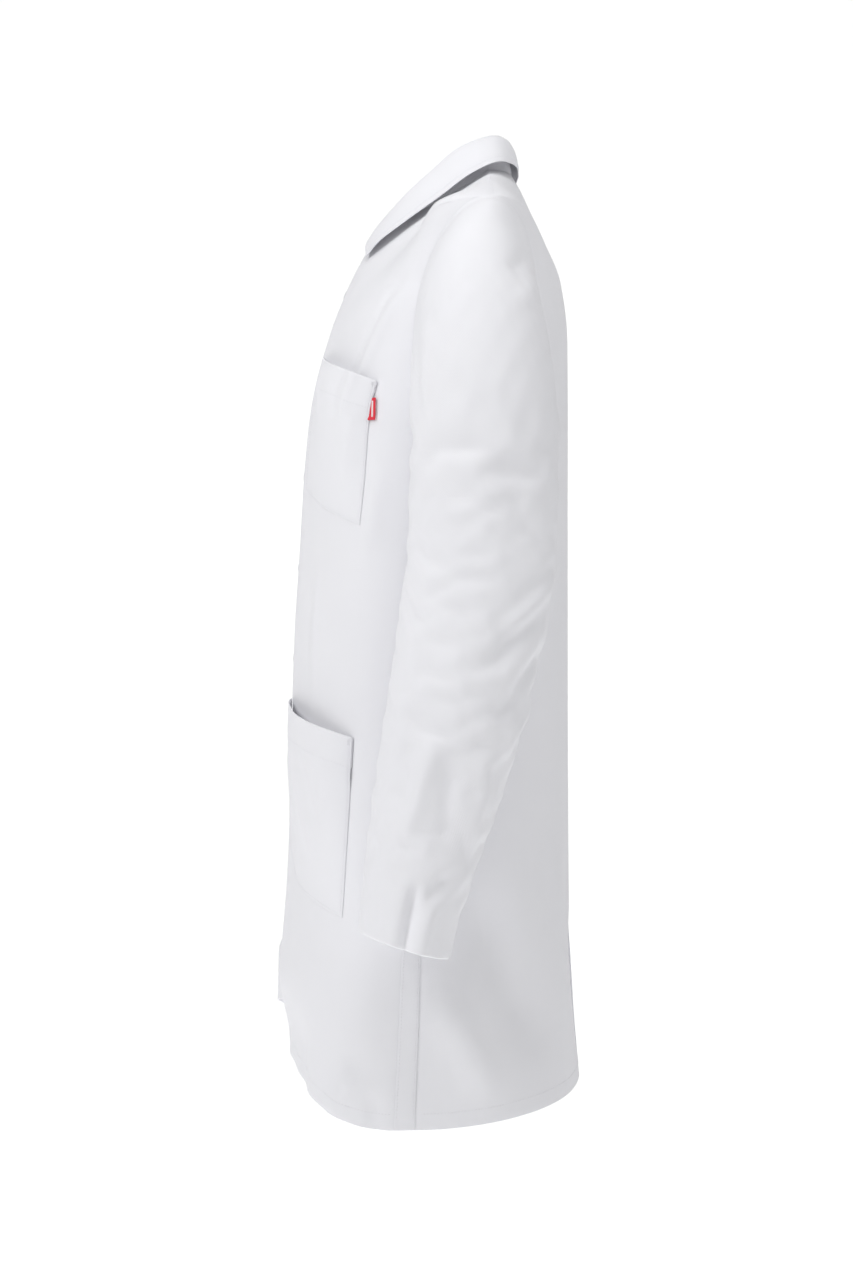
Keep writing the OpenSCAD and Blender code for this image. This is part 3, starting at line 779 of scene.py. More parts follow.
def spaced(count):
    """Shares of a whole in equal steps, without the 0."""
    return np.linspace(0, 1, count + 1)[1:]


# Rows of a bodice: along the shoulder slope, beside the armhole and down to the waist.
SLOPE_ROWS = 14
ARMHOLE_ROWS = 60
WAIST_ROWS = 36
SLOPE_DROP = 36.0


def panel_heights(centre_top):
    """Heights of the bodice rows as (at the centre, at the side)."""
    slope = np.linspace(0, 1, SLOPE_ROWS)
    hole = spaced(ARMHOLE_ROWS)
    low = spaced(WAIST_ROWS)
    under = centre_top - SLOPE_DROP
    centre = [mix(centre_top, under, slope), mix(under, ARMHOLE_BOTTOM_Z, hole),
              mix(ARMHOLE_BOTTOM_Z, WAIST_Z, low)]
    side = [mix(NECK_SIDE_Z, ARMHOLE_TOP_Z, slope),
            ARMHOLE_MID_Z + ARMHOLE_HALF_H * cos_deg(180 * hole),
            mix(ARMHOLE_BOTTOM_Z, WAIST_Z, low)]
    return np.concatenate(centre), np.concatenate(side)


SKIRT_ROWS = 112
PANEL_COLS = 76


PUCKER_HEIGHT = 0.14
HEM_PUCKER_REACH = 6.0


def pucker(run, depth, reach):
    """Small gathers that a line of stitches leaves: three waves that never fall in step."""
    wave = np.sin(run / 1.9) + 0.7 * np.sin(run / 3.1 + 1.3) + 0.5 * np.sin(run / 5.3 + 0.4)
    return PUCKER_HEIGHT * wave * bump(depth, reach)


def turned_hem(turn, z, lift, up=HEM_TURN_UP):
    """Adds rows that fold the last row under and run back up on the inside."""
    angle = HALF_ROLL[:, None]
    fold_z = z[-1] - FOLD_R * np.sin(angle)
    fold_lift = lift[-1] - FOLD_R * (1 - np.cos(angle))
    rise = np.array([0.3, 0.6, 0.8, 1.0])[:, None] * up
    back_z = z[-1] + rise
    back_lift = np.repeat(lift[-1:] - 2 * FOLD_R, len(rise), axis=0)
    count = len(angle) + len(rise)
    turn = np.concatenate([turn, np.repeat(turn[-1:], count, axis=0)])
    return turn, np.concatenate([z, fold_z, back_z]), np.concatenate([lift, fold_lift, back_lift])


def oriented(grid, side):
    """Columns run anticlockwise seen from above, on the right half too."""
    return grid if side == LEFT else grid[:, ::-1]


def front_spots(side):
    centre, edge = panel_heights(NECK_FRONT_Z)
    share = np.linspace(0, 1, PANEL_COLS + 1)
    last = edge_turn(edge, False)[:, None]
    first = turn_at_x(-OVERLAP, centre)[:, None]
    turn = mix(first, last, share)
    z = mix(centre[:, None], edge[:, None], sin_deg(90 * np.maximum(0, turn) / last) ** NECK_BEND)
    down = spaced(SKIRT_ROWS)[:, None]
    skirt_first = turn_at_x(-OVERLAP, mix(WAIST_Z, -HEM_FRONT, down))
    skirt_turn = mix(skirt_first, 90.0, share)
    skirt_z = mix(WAIST_Z, hem_z(skirt_turn), down)
    turn = np.concatenate([turn, skirt_turn])
    z = np.concatenate([z, skirt_z])
    gather = pucker(turn * MM_PER_TURN, z - hem_z(turn) - HEM_STITCH, HEM_PUCKER_REACH)
    lift = lap_lift(body_x(turn, z), z, side) + gather
    return turned_hem(turn, z, lift)


def back_spots():
    centre, edge = panel_heights(0.0)
    share = np.linspace(0, 1, PANEL_COLS + 1)
    first = edge_turn(edge, True)[:, None]
    down = spaced(SKIRT_ROWS)[:, None]
    turn = np.concatenate([mix(first, 180.0, share), mix(90.0, 180.0, share) + 0 * down])
    z = np.concatenate([
        mix(edge[:, None], centre[:, None], share),
        mix(mix(WAIST_Z, -HEM_SIDE, down), mix(WAIST_Z, -HEM_BACK, down), share),
    ])
    lift = pucker(turn * MM_PER_TURN, z - z[-1] - HEM_STITCH, HEM_PUCKER_REACH)
    return turned_hem(turn, z, lift)


def panel(name, spots, side, material=COAT, thick=CLOTH):
    turn, z, lift = spots
    return cloth(name, oriented(body_at(turn, z, lift, side), side), thick, material)


def seam_line(turn, z, lift, side):
    """A stitch line on the body: points and outward directions."""
    turn, z, lift = np.broadcast_arrays(turn, z, lift)
    return body_at(turn, z, lift, side), body_out(turn, z, side)


def open_with_front(piece, side):
    """Bakes a front piece's placement into its mesh; the piece is not bent or moved here."""
    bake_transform(piece)


FACING_W = 62.0
FACING_TOP_Z = NECK_FRONT_Z - 34
EDGE_STITCH_X = -OVERLAP + 6.0
FACING_STITCH_X = -OVERLAP + FACING_W - 3.0


def facing_spots(side):
    z = np.linspace(FACING_TOP_Z, -HEM_FRONT + 2.0, 150)[:, None]
    x = np.linspace(-OVERLAP + 0.8, -OVERLAP + FACING_W, 18)
    turn = turn_at_x(x, z)
    return turn, z + 0 * turn, lap_lift(body_x(turn, z), z, side) - CLOTH - LAYER


CENTRE_STITCH_X = 4.0
VENT_STITCH_X = 12.0
VENT_TOP_Z = -704.0
STRIP_TURN = 89.1
STRIP_STITCH = 1.8


def strip_width(z):
    return mix(11.5, 16.0, (UNDERARM_Z - z) / (HEM_SIDE + UNDERARM_Z))


def strip_turn(share, z):
    """Turn at a share of the side seam strip's width, counted from its front edge."""
    return STRIP_TURN + share * strip_width(z) / width_line(z) * 60


def strip_lift(share):
    return CLOTH * 1.2 + 0.5 * np.sin(np.pi * share)


def seam_strip_spots():
    z = np.linspace(UNDERARM_Z - 6, -HEM_SIDE + 0.6, 170)[:, None]
    share = np.linspace(0, 1, 8)
    turn = strip_turn(share, z)
    return turn, z + 0 * turn, strip_lift(share) + pucker(z, 0 * turn, 1) * 0.5


def front_piece(side):
    name = SIDE_NAME[side]
    front = panel(name + "_front_cloth", front_spots(side), side)
    facing = panel(name + "_facing_cloth", facing_spots(side), side, LINING, LINING_CLOTH)
    z = np.arange(NECK_FRONT_Z - 6, -HEM_FRONT + 8, -4.0)
    lines = []
    below_facing_top = z[z < FACING_TOP_Z - 4]
    for x, heights in ((EDGE_STITCH_X, z), (FACING_STITCH_X, below_facing_top)):
        lines.append(seam_line(turn_at_x(x, heights), heights, lap_lift(x, heights, side), side))
    hem_turn = np.arange(-3.0, 89.0, 1.0)
    hem = hem_z(hem_turn) + HEM_STITCH
    lines.append(seam_line(hem_turn, hem, lap_lift(body_x(hem_turn, hem), hem, side), side))
    thread_piece = stitches(name + "_front_stitches", lines)
    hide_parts(name + "_front_panel", name + "_front_skirt")
    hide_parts(name + "_front_facing", name + "_skirt_facing")
    for piece in (front, facing, thread_piece):
        open_with_front(piece, side)


def back_piece(side):
    name = SIDE_NAME[side]
    back = panel(name + "_back_cloth", back_spots(), side)
    strip = panel(name + "_side_seam_cloth", seam_strip_spots(), side)
    lines = []
    z = np.arange(UNDERARM_Z - 8, -HEM_SIDE + 4, -4.0)
    near_edge = STRIP_STITCH / strip_width(z)
    for share in (near_edge, 1 - near_edge):
        lines.append(seam_line(strip_turn(share, z), z, strip_lift(share), side))
    hem_turn = np.arange(95.0, 179.5, 1.0)
    hem = mix(-HEM_SIDE, -HEM_BACK, (hem_turn - 90) / 90) + HEM_STITCH
    lines.append(seam_line(hem_turn, hem, 0.0, side))
    for x, z in (
        (CENTRE_STITCH_X, np.arange(-10.0, VENT_TOP_Z + 4, -4.0)),
        (VENT_STITCH_X, np.arange(VENT_TOP_Z, -HEM_BACK + 8, -4.0)),
    ):
        lines.append(seam_line(turn_at_back_x(x, z), z, 0.0, side))
    thread_piece = stitches(name + "_back_stitches", lines)
    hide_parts(name + "_back_panel")
    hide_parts(name + "_side_seam")
    for piece in (back, strip, thread_piece):
        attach(piece, "torso")


VENT_H = 225.0
VENT_W = 38.0
VENT_LIFT = -CLOTH - 0.9


def vent_piece():
    """Underlap joined to the right back edge, passing behind the left back."""
    z = np.linspace(-HEM_BACK + VENT_H, -HEM_BACK + 3, 60)[:, None]
    share = np.linspace(0, 1, 14)
    x = mix(VENT_W, 0.5, share)
    turn = turn_at_back_x(x, z)
    behind = body_at(turn, z, VENT_LIFT, LEFT)
    joined = body_at(turn_at_back_x(0.5 + 0 * x, z), z, VENT_LIFT, RIGHT)
    towards = ease((share - 0.45) / 0.55)[None, :, None]
    grid = mix(behind, joined, towards)
    piece = cloth("vent_underlap_cloth", grid, LINING_CLOTH, LINING)
    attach(piece, "torso")
    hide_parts("vent_underlap")


def shoulder_stitches():
    """Topstitching just behind the shoulder seams."""
    runs = []
    for side in (LEFT, RIGHT):
        z = np.linspace(-11.0, ARMHOLE_TOP_Z + 2, 40)
        runs.append(seam_line(92.5 + 0 * z, z, 0.0, side))
    piece = stitches("shoulder_stitches", runs)
    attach(piece, "torso")



# ---- sleeves
CUFF_Z = -758.0
HEAD_END_Z = -300.0
SLEEVE_START_X = 183.5
ARM_SPLIT_Z = -355.0
SLEEVE_CLOTH = 0.8
CUFF_TURN_UP = 20.0
CUFF_STITCH = 15.0
ARMHOLE_STITCH_ROW = 3

ARM = [curve([(row[0], row[1][k]) for row in [
    (-300, (-28, 108, 187.5, 291, 0)), (-405, (-31, 105, 198, 296, 0)),
    (-458, (-37, 97, 203, 299, 0.1)), (-525, (-45, 80, 209, 303, 0.2)),
    (-612, (-58, 54, 216, 307, 0.28)), (-680, (-67, 30, 222, 310, 0.3)),
    (-758, (-75, 7, 230, 316, 0.31)), (-800, (-80, 2, 234, 320, 0.31)),
]]) for k in range(5)]
ARM_FRONT, ARM_REAR, ARM_INNER, ARM_OUTER, ARM_TILT = ARM


def arm_base(z, way):
    """Oval section of the arm; way turns from the outer end (0) to the front (90)."""
    half_x = (ARM_OUTER(z) - ARM_INNER(z)) / 2
    half_y = (ARM_REAR(z) - ARM_FRONT(z)) / 2
    y = -half_y * sin_deg(way)
    flat = ease((HEAD_END_Z - 60 - z) / 300)
    x = half_x * np.sign(cos_deg(way)) * np.abs(cos_deg(way)) ** (1 - 0.12 * flat)
    middle = (ARM_OUTER(z) + ARM_INNER(z)) / 2, (ARM_REAR(z) + ARM_FRONT(z)) / 2
    return stack(middle[0] + x, middle[1] + y, z - ARM_TILT(z) * y)


def bezier(points, t):
    a, b, c, d = (np.array(p, float) for p in points)
    t = np.asarray(t, float)[..., None]
    return (1 - t) ** 3 * a + 3 * (1 - t) ** 2 * t * b + 3 * (1 - t) * t * t * c + t ** 3 * d


HEAD_CROWN = [(SLEEVE_START_X, ARMHOLE_TOP_Z - 2), (226, -74), (288, -150), (291, HEAD_END_Z)]
HEAD_UNDER = [(SLEEVE_START_X, ARMHOLE_BOTTOM_Z), (185, -282), (187, -290), (187.5, HEAD_END_Z)]
HEAD_JOIN = 0.42


def armhole_edge(way, side):
    """Edge of the armhole on the draped body, at the same way round as the sleeve."""
    z = ARMHOLE_MID_Z + ARMHOLE_HALF_H * cos_deg(way)
    front = edge_turn(z, False)
    back = edge_turn(z, True)
    turn = np.where(sin_deg(way) >= 0, front, back)
    return body_at(turn, z, 0.0, side) * (side, 1, 1)


def head_base(v, way, side):
    crown, under = bezier(HEAD_CROWN, v), bezier(HEAD_UNDER, v)
    middle, half = (crown + under) / 2, (crown - under) / 2
    rear, front = ARM_REAR(HEAD_END_Z), ARM_FRONT(HEAD_END_Z)
    mid_y = mix(armhole_mid_y(ARMHOLE_MID_Z), (rear + front) / 2, v)
    half_y = mix(ARMHOLE_HALF_W, (rear - front) / 2, ease(v))
    c = cos_deg(way)
    free = stack(middle[..., 0] + half[..., 0] * c, mid_y - half_y * sin_deg(way),
                 middle[..., 1] + half[..., 1] * c)
    start_half = (HEAD_CROWN[0][1] - HEAD_UNDER[0][1]) / 2
    start = stack(SLEEVE_START_X + 0 * c, armhole_mid_y(ARMHOLE_MID_Z) - ARMHOLE_HALF_W * sin_deg(way),
                  (HEAD_CROWN[0][1] + HEAD_UNDER[0][1]) / 2 + start_half * c)
    pull = (1 - ease(v / HEAD_JOIN))[..., None]
    return free + (armhole_edge(way, side) - start) * pull


# Folds of the sleeves: ends as (way, z), width and height in millimetres.
MM_PER_WAY = 0.95
SLEEVE_FOLDS = {
    LEFT: [
        ((13, -560), (20, -672), 9, -3.4),
        ((-2, -575), (-22, -690), 9, 3.2),
        ((-34, -560), (-50, -690), 10, -3.0),
        ((28, -520), (34, -640), 12, 1.6),
        ((0, -690), (0, -800), 7, 5.5),
        ((-24, -700), (-20, -800), 9, -3.2),
        ((-36, -690), (-14, -722), 8, 2.6),
        ((-60, -452), (-8, -520), 10, 3.6),
        ((-80, -420), (-22, -480), 9, -3.4),
        ((-85, -480), (-30, -565), 11, 3.4),
        ((-95, -530), (-40, -600), 10, -3.0),
        ((80, -395), (30, -440), 10, -2.4),
        ((84, -425), (40, -478), 9, 2.2),
        ((-58, -112), (-20, -150), 9, 3.4),
        ((-66, -145), (-28, -178), 9, -2.4),
        ((72, -160), (60, -310), 9, 2.2),
        ((55, -180), (48, -330), 10, -2.0),
        ((-20, -300), (-34, -420), 16, 2.0),
    ],
    RIGHT: [
        ((16, -560), (24, -680), 9, -3.2),
        ((-6, -580), (-20, -690), 9, 3.0),
        ((-36, -570), (-52, -700), 10, -3.0),
        ((0, -700), (2, -800), 7, 5.0),
        ((-60, -448), (-12, -515), 10, 3.4),
        ((-80, -470), (-34, -560), 10, -3.2),
        ((-90, -520), (-40, -590), 10, 2.8),
        ((78, -398), (34, -446), 10, -2.4),
        ((-60, -116), (-24, -156), 9, 3.2),
        ((70, -170), (58, -310), 9, 2.2),
        ((52, -190), (46, -330), 10, -2.0),
    ],
}


def sleeve_fold(way, z, side):
    return folds_height((way + 180) % 360 - 180, z, SLEEVE_FOLDS[side], MM_PER_WAY)


# The sleeve head swells beside the armhole seam, and the cloth sinks at the seam itself.
HEAD_SWELL = 1.6
SEAM_SINK = 0.8
HEAD_ROWS = 62
SLEEVE_COLS = 120


def sleeve_rows():
    """Rows of a whole sleeve: shares of its head, then heights down the arm."""
    v = np.linspace(0, 1, HEAD_ROWS + 1)
    z = np.concatenate([np.arange(HEAD_END_Z - 4, ARM_SPLIT_Z, -4.0), [ARM_SPLIT_Z],
                        np.linspace(ARM_SPLIT_Z, CUFF_Z, 120)[1:]])
    return v, z


def sleeve_grid(side):
    """Outer face of a sleeve from the armhole to the cuff, and the row where it is split."""
    way = (180 + np.linspace(0, 360, SLEEVE_COLS, endpoint=False)) % 360
    v, z = sleeve_rows()
    head = head_base(np.repeat(v[:, None], len(way), 1), np.repeat(way[None], len(v), 0), side)
    arm = arm_base(np.repeat(z[:, None], len(way), 1), np.repeat(way[None], len(z), 0))
    grid = np.concatenate([head, arm])
    join = len(v)
    for _ in range(6):
        band = grid[join - 12:join + 12]
        smooth = (band[:-2] + 2 * band[1:-1] + band[2:]) / 4
        grid[join - 11:join + 11] = smooth
    normal = grid_normals(grid, True)
    level = grid[..., 2]
    near = np.concatenate([ease(v / 0.3), np.ones(len(z))])[:, None]
    ways = np.repeat(way[None], len(grid), 0)
    from_seam = run_lengths(grid, 0)
    swell = HEAD_SWELL * bump(from_seam - 9.0, 6.0) - SEAM_SINK * bump(from_seam, 2.5)
    lift = sleeve_fold(ways, level, side) * near + swell
    lift = lift + pucker(run_lengths(grid, 1), level - cuff_level(grid) - CUFF_STITCH, 5)
    grid = (grid + normal * lift[..., None]) * (side, 1, 1)
    if "sleeves" in drape:
        grid = grid + drape["sleeves"][side] * near[..., None]
    split = len(v) + int(np.argmin(np.abs(z - ARM_SPLIT_Z)))
    return grid, split


def cuff_level(grid):
    return np.repeat(grid[-1:, :, 2], len(grid), axis=0)


def folded_end(grid, up):
    """Folds the last row of a tube inwards and runs it back up inside."""
    tangent = unit(grid[-1] - grid[-3])
    inward = -unit(np.cross(tangent, np.roll(grid[-1], -1, 0) - np.roll(grid[-1], 1, 0)))
    inward = inward * np.sign(np.sum(inward * (grid[-1].mean(0) - grid[-1]), axis=-1, keepdims=True))
    rows = []
    for angle in HALF_ROLL:
        drop = tangent * FOLD_R * math.sin(angle)
        rows.append(grid[-1] + drop + inward * FOLD_R * (1 - math.cos(angle)))
    for share in (0.25, 0.5, 0.75, 1.0):
        back = np.array([along_run(grid[:, j], up * share) for j in range(grid.shape[1])])
        rows.append(back + inward * 2 * FOLD_R)
    return np.concatenate([grid, np.array(rows)])


def along_run(column, distance):
    """Point of a column at a distance back from its last point."""
    run = np.concatenate([[0], np.cumsum(np.linalg.norm(np.diff(column[::-1], axis=0), axis=1))])
    return np.array([np.interp(distance, run, column[::-1][:, k]) for k in range(3)])


def closed(ring):
    """The same ring with its first point again at the end."""
    return np.concatenate([ring, ring[:1]])


def sleeve(side):
    name = SIDE_NAME[side]
    grid, split = sleeve_grid(side)
    normal = grid_normals(grid, True) * side
    hem_ring = closed(np.array([along_run(column, CUFF_STITCH) for column in np.swapaxes(grid, 0, 1)]))
    hem_out = closed(normal[-5])
    ring = closed(grid[ARMHOLE_STITCH_ROW])
    ring_out = closed(normal[ARMHOLE_STITCH_ROW])
    lower = folded_end(grid[split:], CUFF_TURN_UP)
    upper_cloth = cloth(name + "_upper_sleeve_cloth", oriented(grid[:split + 1], side), SLEEVE_CLOTH,
                        COAT, wrap=True, open_ends=("bottom",))
    lower_cloth = cloth(name + "_lower_sleeve_cloth", oriented(lower, side), SLEEVE_CLOTH,
                        COAT, wrap=True, open_ends=("top",))
    hem = stitches(name + "_sleeve_hem_stitches", [(hem_ring, hem_out)])
    crown = stitches(name + "_armhole_stitches", [(ring, ring_out)])
    for piece in (upper_cloth, crown):
        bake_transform(piece)
    for piece in (lower_cloth, hem):
        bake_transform(piece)
    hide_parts(name + "_upper_sleeve")
    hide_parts(name + "_lower_sleeve", name + "_sleeve_hem")


# ---- collar
FOLD_HALF_W = 64.0
FOLD_FRONT_Y = -71.0
FOLD_BACK_Y = 68.0
fold_height = curve([
    (-72, -68), (-65, -60), (-52, -46), (-34, -28), (-10, -7), (16, 16), (42, 30), (60, 37), (69, 38),
])
LEAF_EDGE = [curve([(row[0], row[1][k]) for row in [
    (0, (44, -77, -95)), (0.14, (63, -62, -81)), (0.3, (79, -36, -64)), (0.45, (91, -4, -43)),
    (0.6, (95, 30, -18)), (0.75, (82, 60, -3)), (0.88, (45, 77, -1)), (1, (0, 80, 0)),
]]) for k in range(3)]


def seam_ring(s):
    turn = 180 * s
    rising = mix(NECK_FRONT_Z, NECK_SIDE_Z, sin_deg(np.minimum(turn, 90)) ** NECK_BEND)
    falling = mix(NECK_SIDE_Z, 0.0, (turn - 90) / 90)
    z = np.where(turn <= 90, rising, falling)
    return body_base(turn, z - 0.5) + (0, 0, 0.3)


def fold_ring(s):
    y = mix(FOLD_FRONT_Y, FOLD_BACK_Y, (1 - cos_deg(180 * s)) / 2)
    return stack(FOLD_HALF_W * sin_deg(180 * s), y, fold_height(y))


def fold_share(y):
    part = np.clip((y - FOLD_FRONT_Y) / (FOLD_BACK_Y - FOLD_FRONT_Y), 0, 1)
    return np.degrees(np.arccos(1 - 2 * part)) / 180


def edge_ring(s):
    return stack(*(c(s) for c in LEAF_EDGE))


COLLAR_TILT = 0.4


def collar_out(p):
    """Outward direction from the neck, tilted a little upwards."""
    up = COLLAR_TILT + 0 * p[..., 0]
    return unit(stack(p[..., 0] / FOLD_HALF_W, p[..., 1] / (FOLD_BACK_Y * 1.1), up))


COLLAR_COLS = 150
COLLAR_START = 0.03
END_STITCH_S = COLLAR_START + 0.012


def round_the_neck(row_of):
    """Columns of the collar from the left front round the back to the right front."""
    half = row_of(np.linspace(COLLAR_START, 1, COLLAR_COLS))
    right = half * (-1, 1, 1)
    return np.concatenate([half, right[:, ::-1][:, 1:]], axis=1)


# The leaf bows out between fold and edge, and flares a little at the sides.
LEAF_BOW = 3.4
SIDE_FLARE = 1.2


def leaf_point(s, v, lift):
    """Point of the leaf: v runs from the fold (0) to the free edge (1)."""
    low, high = edge_ring(s), fold_ring(s)
    p = mix(high, low, v)
    bow = LEAF_BOW * sin_deg(180 * v) + SIDE_FLARE * sin_deg(180 * s) * v
    return p + collar_out(p) * (lift + bow)[..., None]


ROLL_R = 2.2
LEAF_CLOTH = 0.75
LEAF_EDGE_R = 0.7
TOP_LIFT = 3.0
TOP_INSIDE = -2.9
UNDER_LIFT = 1.7
UNDER_SPAN = (0.2, 0.93)
STAND_CLOTH = 0.8
STAND_INSIDE_H = 14.0
COLLAR_STITCH = 0.13


def stand_height(ring):
    """Height of the fold above the neck seam at the same depth."""
    seam = seam_ring(np.linspace(0, 1, 200))
    return np.maximum(1.5, ring[..., 2] - np.interp(ring[..., 1], seam[:, 1], seam[:, 2]))


def top_collar_rows(s):
    """Sheet that rises inside the stand, rolls over the fold and runs down the leaf."""
    rows = []
    ring = fold_ring(s)
    out = collar_out(ring)
    flat = unit(out * (1, 1, 0))
    tall = np.minimum(STAND_INSIDE_H, stand_height(ring))
    for share in (0.75, 0.55, 0.38, 0.22):
        rows.append(ring + flat * TOP_INSIDE - stack(0 * tall, 0, share * tall))
    centre = ring + flat * ((TOP_LIFT + TOP_INSIDE) / 2) + np.array((0.0, 0.0, -ROLL_R))
    half = (TOP_LIFT - TOP_INSIDE) / 2
    for angle in np.linspace(170, 25, 9):
        rows.append(centre + flat * half * cos_deg(angle) + np.array([0, 0, 1.0]) * ROLL_R * sin_deg(angle))
    leaf = [leaf_point(s, v, TOP_LIFT) for v in np.linspace(0.05, 1, 44)]
    along = unit(edge_ring(s) - ring)
    for k, w in enumerate(np.linspace(0, 1, 6)):
        leaf[k] = mix(rows[-1] + along * 1.1 * (k + 1), leaf[k], ease(w))
    rows += leaf
    under_way = -collar_out(edge_ring(s))
    tangent = unit(leaf[-1] - leaf[-3])
    for angle in np.radians([45, 90, 135, 180]):
        drop = tangent * LEAF_EDGE_R * math.sin(angle)
        rows.append(leaf[-1] + drop + under_way * LEAF_EDGE_R * (1 - math.cos(angle)))
    rows.append(leaf[-3] + under_way * 2 * LEAF_EDGE_R)
    return np.array(rows)


def collar():
    top = cloth("top_collar_cloth", round_the_neck(top_collar_rows), LEAF_CLOTH, COAT)

    def under_rows(s):
        return np.array([
            leaf_point(s, v, mix(UNDER_LIFT, TOP_LIFT - 1.5, v)) for v in np.linspace(*UNDER_SPAN, 30)
        ])

    under = cloth("under_collar_cloth", round_the_neck(under_rows), LINING_CLOTH, LINING)

    def stand_rows(s):
        low = seam_ring(s)
        high = fold_ring(fold_share(low[..., 1])) - (0, 0, 2.0)
        high[..., 2] = np.maximum(high[..., 2], low[..., 2] + 2.0)
        return np.array([
            mix(high, low, v) + collar_out(mix(high, low, v)) * (0.9 * sin_deg(180 * v))
            for v in np.linspace(0, 1.02, 26)])

    stand = cloth("collar_stand_cloth", round_the_neck(stand_rows), STAND_CLOTH, COAT)
    s = np.linspace(END_STITCH_S, 1, 260)
    row = leaf_point(s, 1 - COLLAR_STITCH, TOP_LIFT)
    out = collar_out(row)
    runs = [tuple(np.concatenate([p * (-1, 1, 1), p[::-1][1:]]) for p in (row, out))]
    v = np.linspace(0.08, 0.87, 30)
    end = np.array([leaf_point(np.array([END_STITCH_S]), k, TOP_LIFT)[0] for k in v])
    for side in (LEFT, RIGHT):
        runs.append((end * (side, 1, 1), collar_out(end) * (side, 1, 1)))
    thread_piece = stitches("collar_stitches", runs)
    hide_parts("top_collar")
    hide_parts("under_collar")
    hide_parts("collar_stand")
    for piece in (top, under, stand, thread_piece):
        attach(piece, "torso")



# ---- pockets
class Pocket:
    """A patch on the front: edges as turns, top heights, depth and cut front corner."""

    def __init__(self, front_turn, rear_turn, top_front, top_rear, depth, cut, gape, hem, folds):
        self.front_turn, self.rear_turn = front_turn, rear_turn
        self.top_front, self.top_rear = top_front, top_rear
        self.depth, self.cut, self.gape, self.hem = depth, cut, gape, hem
        self.folds = folds

    def spots(self, u, v, side, extra=0.0):
        """Turn, height and lift at u from front to rear edge and v from mouth to bottom."""
        top = mix(self.top_front, self.top_rear, u)
        cut = self.cut * np.maximum(0, 1 - u / 0.34) ** 1.25
        z = mix(top, top - self.depth + cut, v)
        turn = mix(self.front_turn, self.rear_turn - 2.2 * v, u)
        stand = self.gape * sin_deg(180 * u) ** 0.8 * sin_deg(90 * np.minimum(1, 1.25 * (1 - v)))
        layers = CLOTH + LAYER + 2 * FOLD_R * (1 - ease((v - 0.2) / 0.1))
        fold = np.zeros(np.broadcast(u, v).shape)
        for first, last, width, height in self.folds:
            fold = fold + ridge(u * POCKET_W, v * self.depth, first, last, width, height)
        near_edge = ease(np.minimum(np.minimum(u, 1 - u) * 6, (1 - v) * 8))
        lift = lap_lift(body_x(turn, z), z, side) + layers + stand + fold * near_edge + extra
        return turn, z, lift


POCKET_W = 120.0
POCKET_STITCH = 2.2
CHEST_POCKET = Pocket(
    front_turn=20, rear_turn=65, top_front=-201, top_rear=-236, depth=137, cut=6, gape=9.0, hem=26.0,
    folds=[
        ((20, 0), (46, 60), 9, 2.4),
        ((64, 0), (78, 50), 10, -2.2),
        ((104, 20), (86, 110), 10, 1.6),
    ],
)
HIP_POCKET = Pocket(
    front_turn=14, rear_turn=65.6, top_front=-545, top_rear=-579, depth=170, cut=34, gape=12.0, hem=28.0,
    folds=[
        ((22, 8), (78, 140), 9, 3.2),
        ((44, 4), (96, 120), 10, -2.6),
        ((8, 30), (40, 130), 9, 2.2),
        ((98, 16), (84, 90), 9, 1.4),
    ],
)


def pocket(name, shape, side):
    u = np.linspace(0, 1, 64)
    hem_v = shape.hem / shape.depth
    rows = []
    for v in np.linspace(hem_v, 0.01, 7):
        rows.append(shape.spots(u, v + 0 * u, side, -2 * FOLD_R))
    for angle in np.radians([150, 120, 90, 60, 30]):
        turn, z, lift = shape.spots(u, 0 * u, side, -FOLD_R)
        rows.append((turn, z + FOLD_R * math.sin(angle), lift + FOLD_R * math.cos(angle)))
    for v in np.linspace(0, 1, 80):
        rows.append(shape.spots(u, v + 0 * u, side))
    turn, z, lift = (np.array([row[k] for row in rows]) for k in range(3))
    patch = panel(name + "_cloth", (turn, z, lift), side)
    inset_u = POCKET_STITCH / POCKET_W
    inset_v = 1 - POCKET_STITCH / shape.depth
    down = np.linspace(0.01, inset_v, 60)
    across = np.linspace(inset_u, 1 - inset_u, 60)
    runs = []
    for where_u, where_v in (
        (inset_u + 0 * down, down), (1 - inset_u + 0 * down, down),
        (across, inset_v + 0 * across), (across, hem_v + 0 * across),
    ):
        turn, z, lift = shape.spots(where_u, where_v, side)
        runs.append(seam_line(turn, z, lift, side))
    for corner in (inset_u + 0.012, 1 - inset_u - 0.012):
        turn, z, lift = shape.spots(np.array([corner]), np.array([0.03]), side)
        place, out = seam_line(turn, z, lift, side)
        runs += bar_tack(place[0], out[0], np.array([0.0, 0.0, 1.0]))
    thread_piece = stitches(name + "_stitches", runs)
    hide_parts(name)
    for piece in (patch, thread_piece):
        open_with_front(piece, side)


# ---- tag, label and loop
TAG_Z = -262.0
TAG_H = 21.0
TAG_W = 8.5
TAG_CLOTH = 0.45
TAG_FOLD_R = 0.55
TAG_WAVE = 0.25
TAG_STRIPE = (4.2, 6.0)


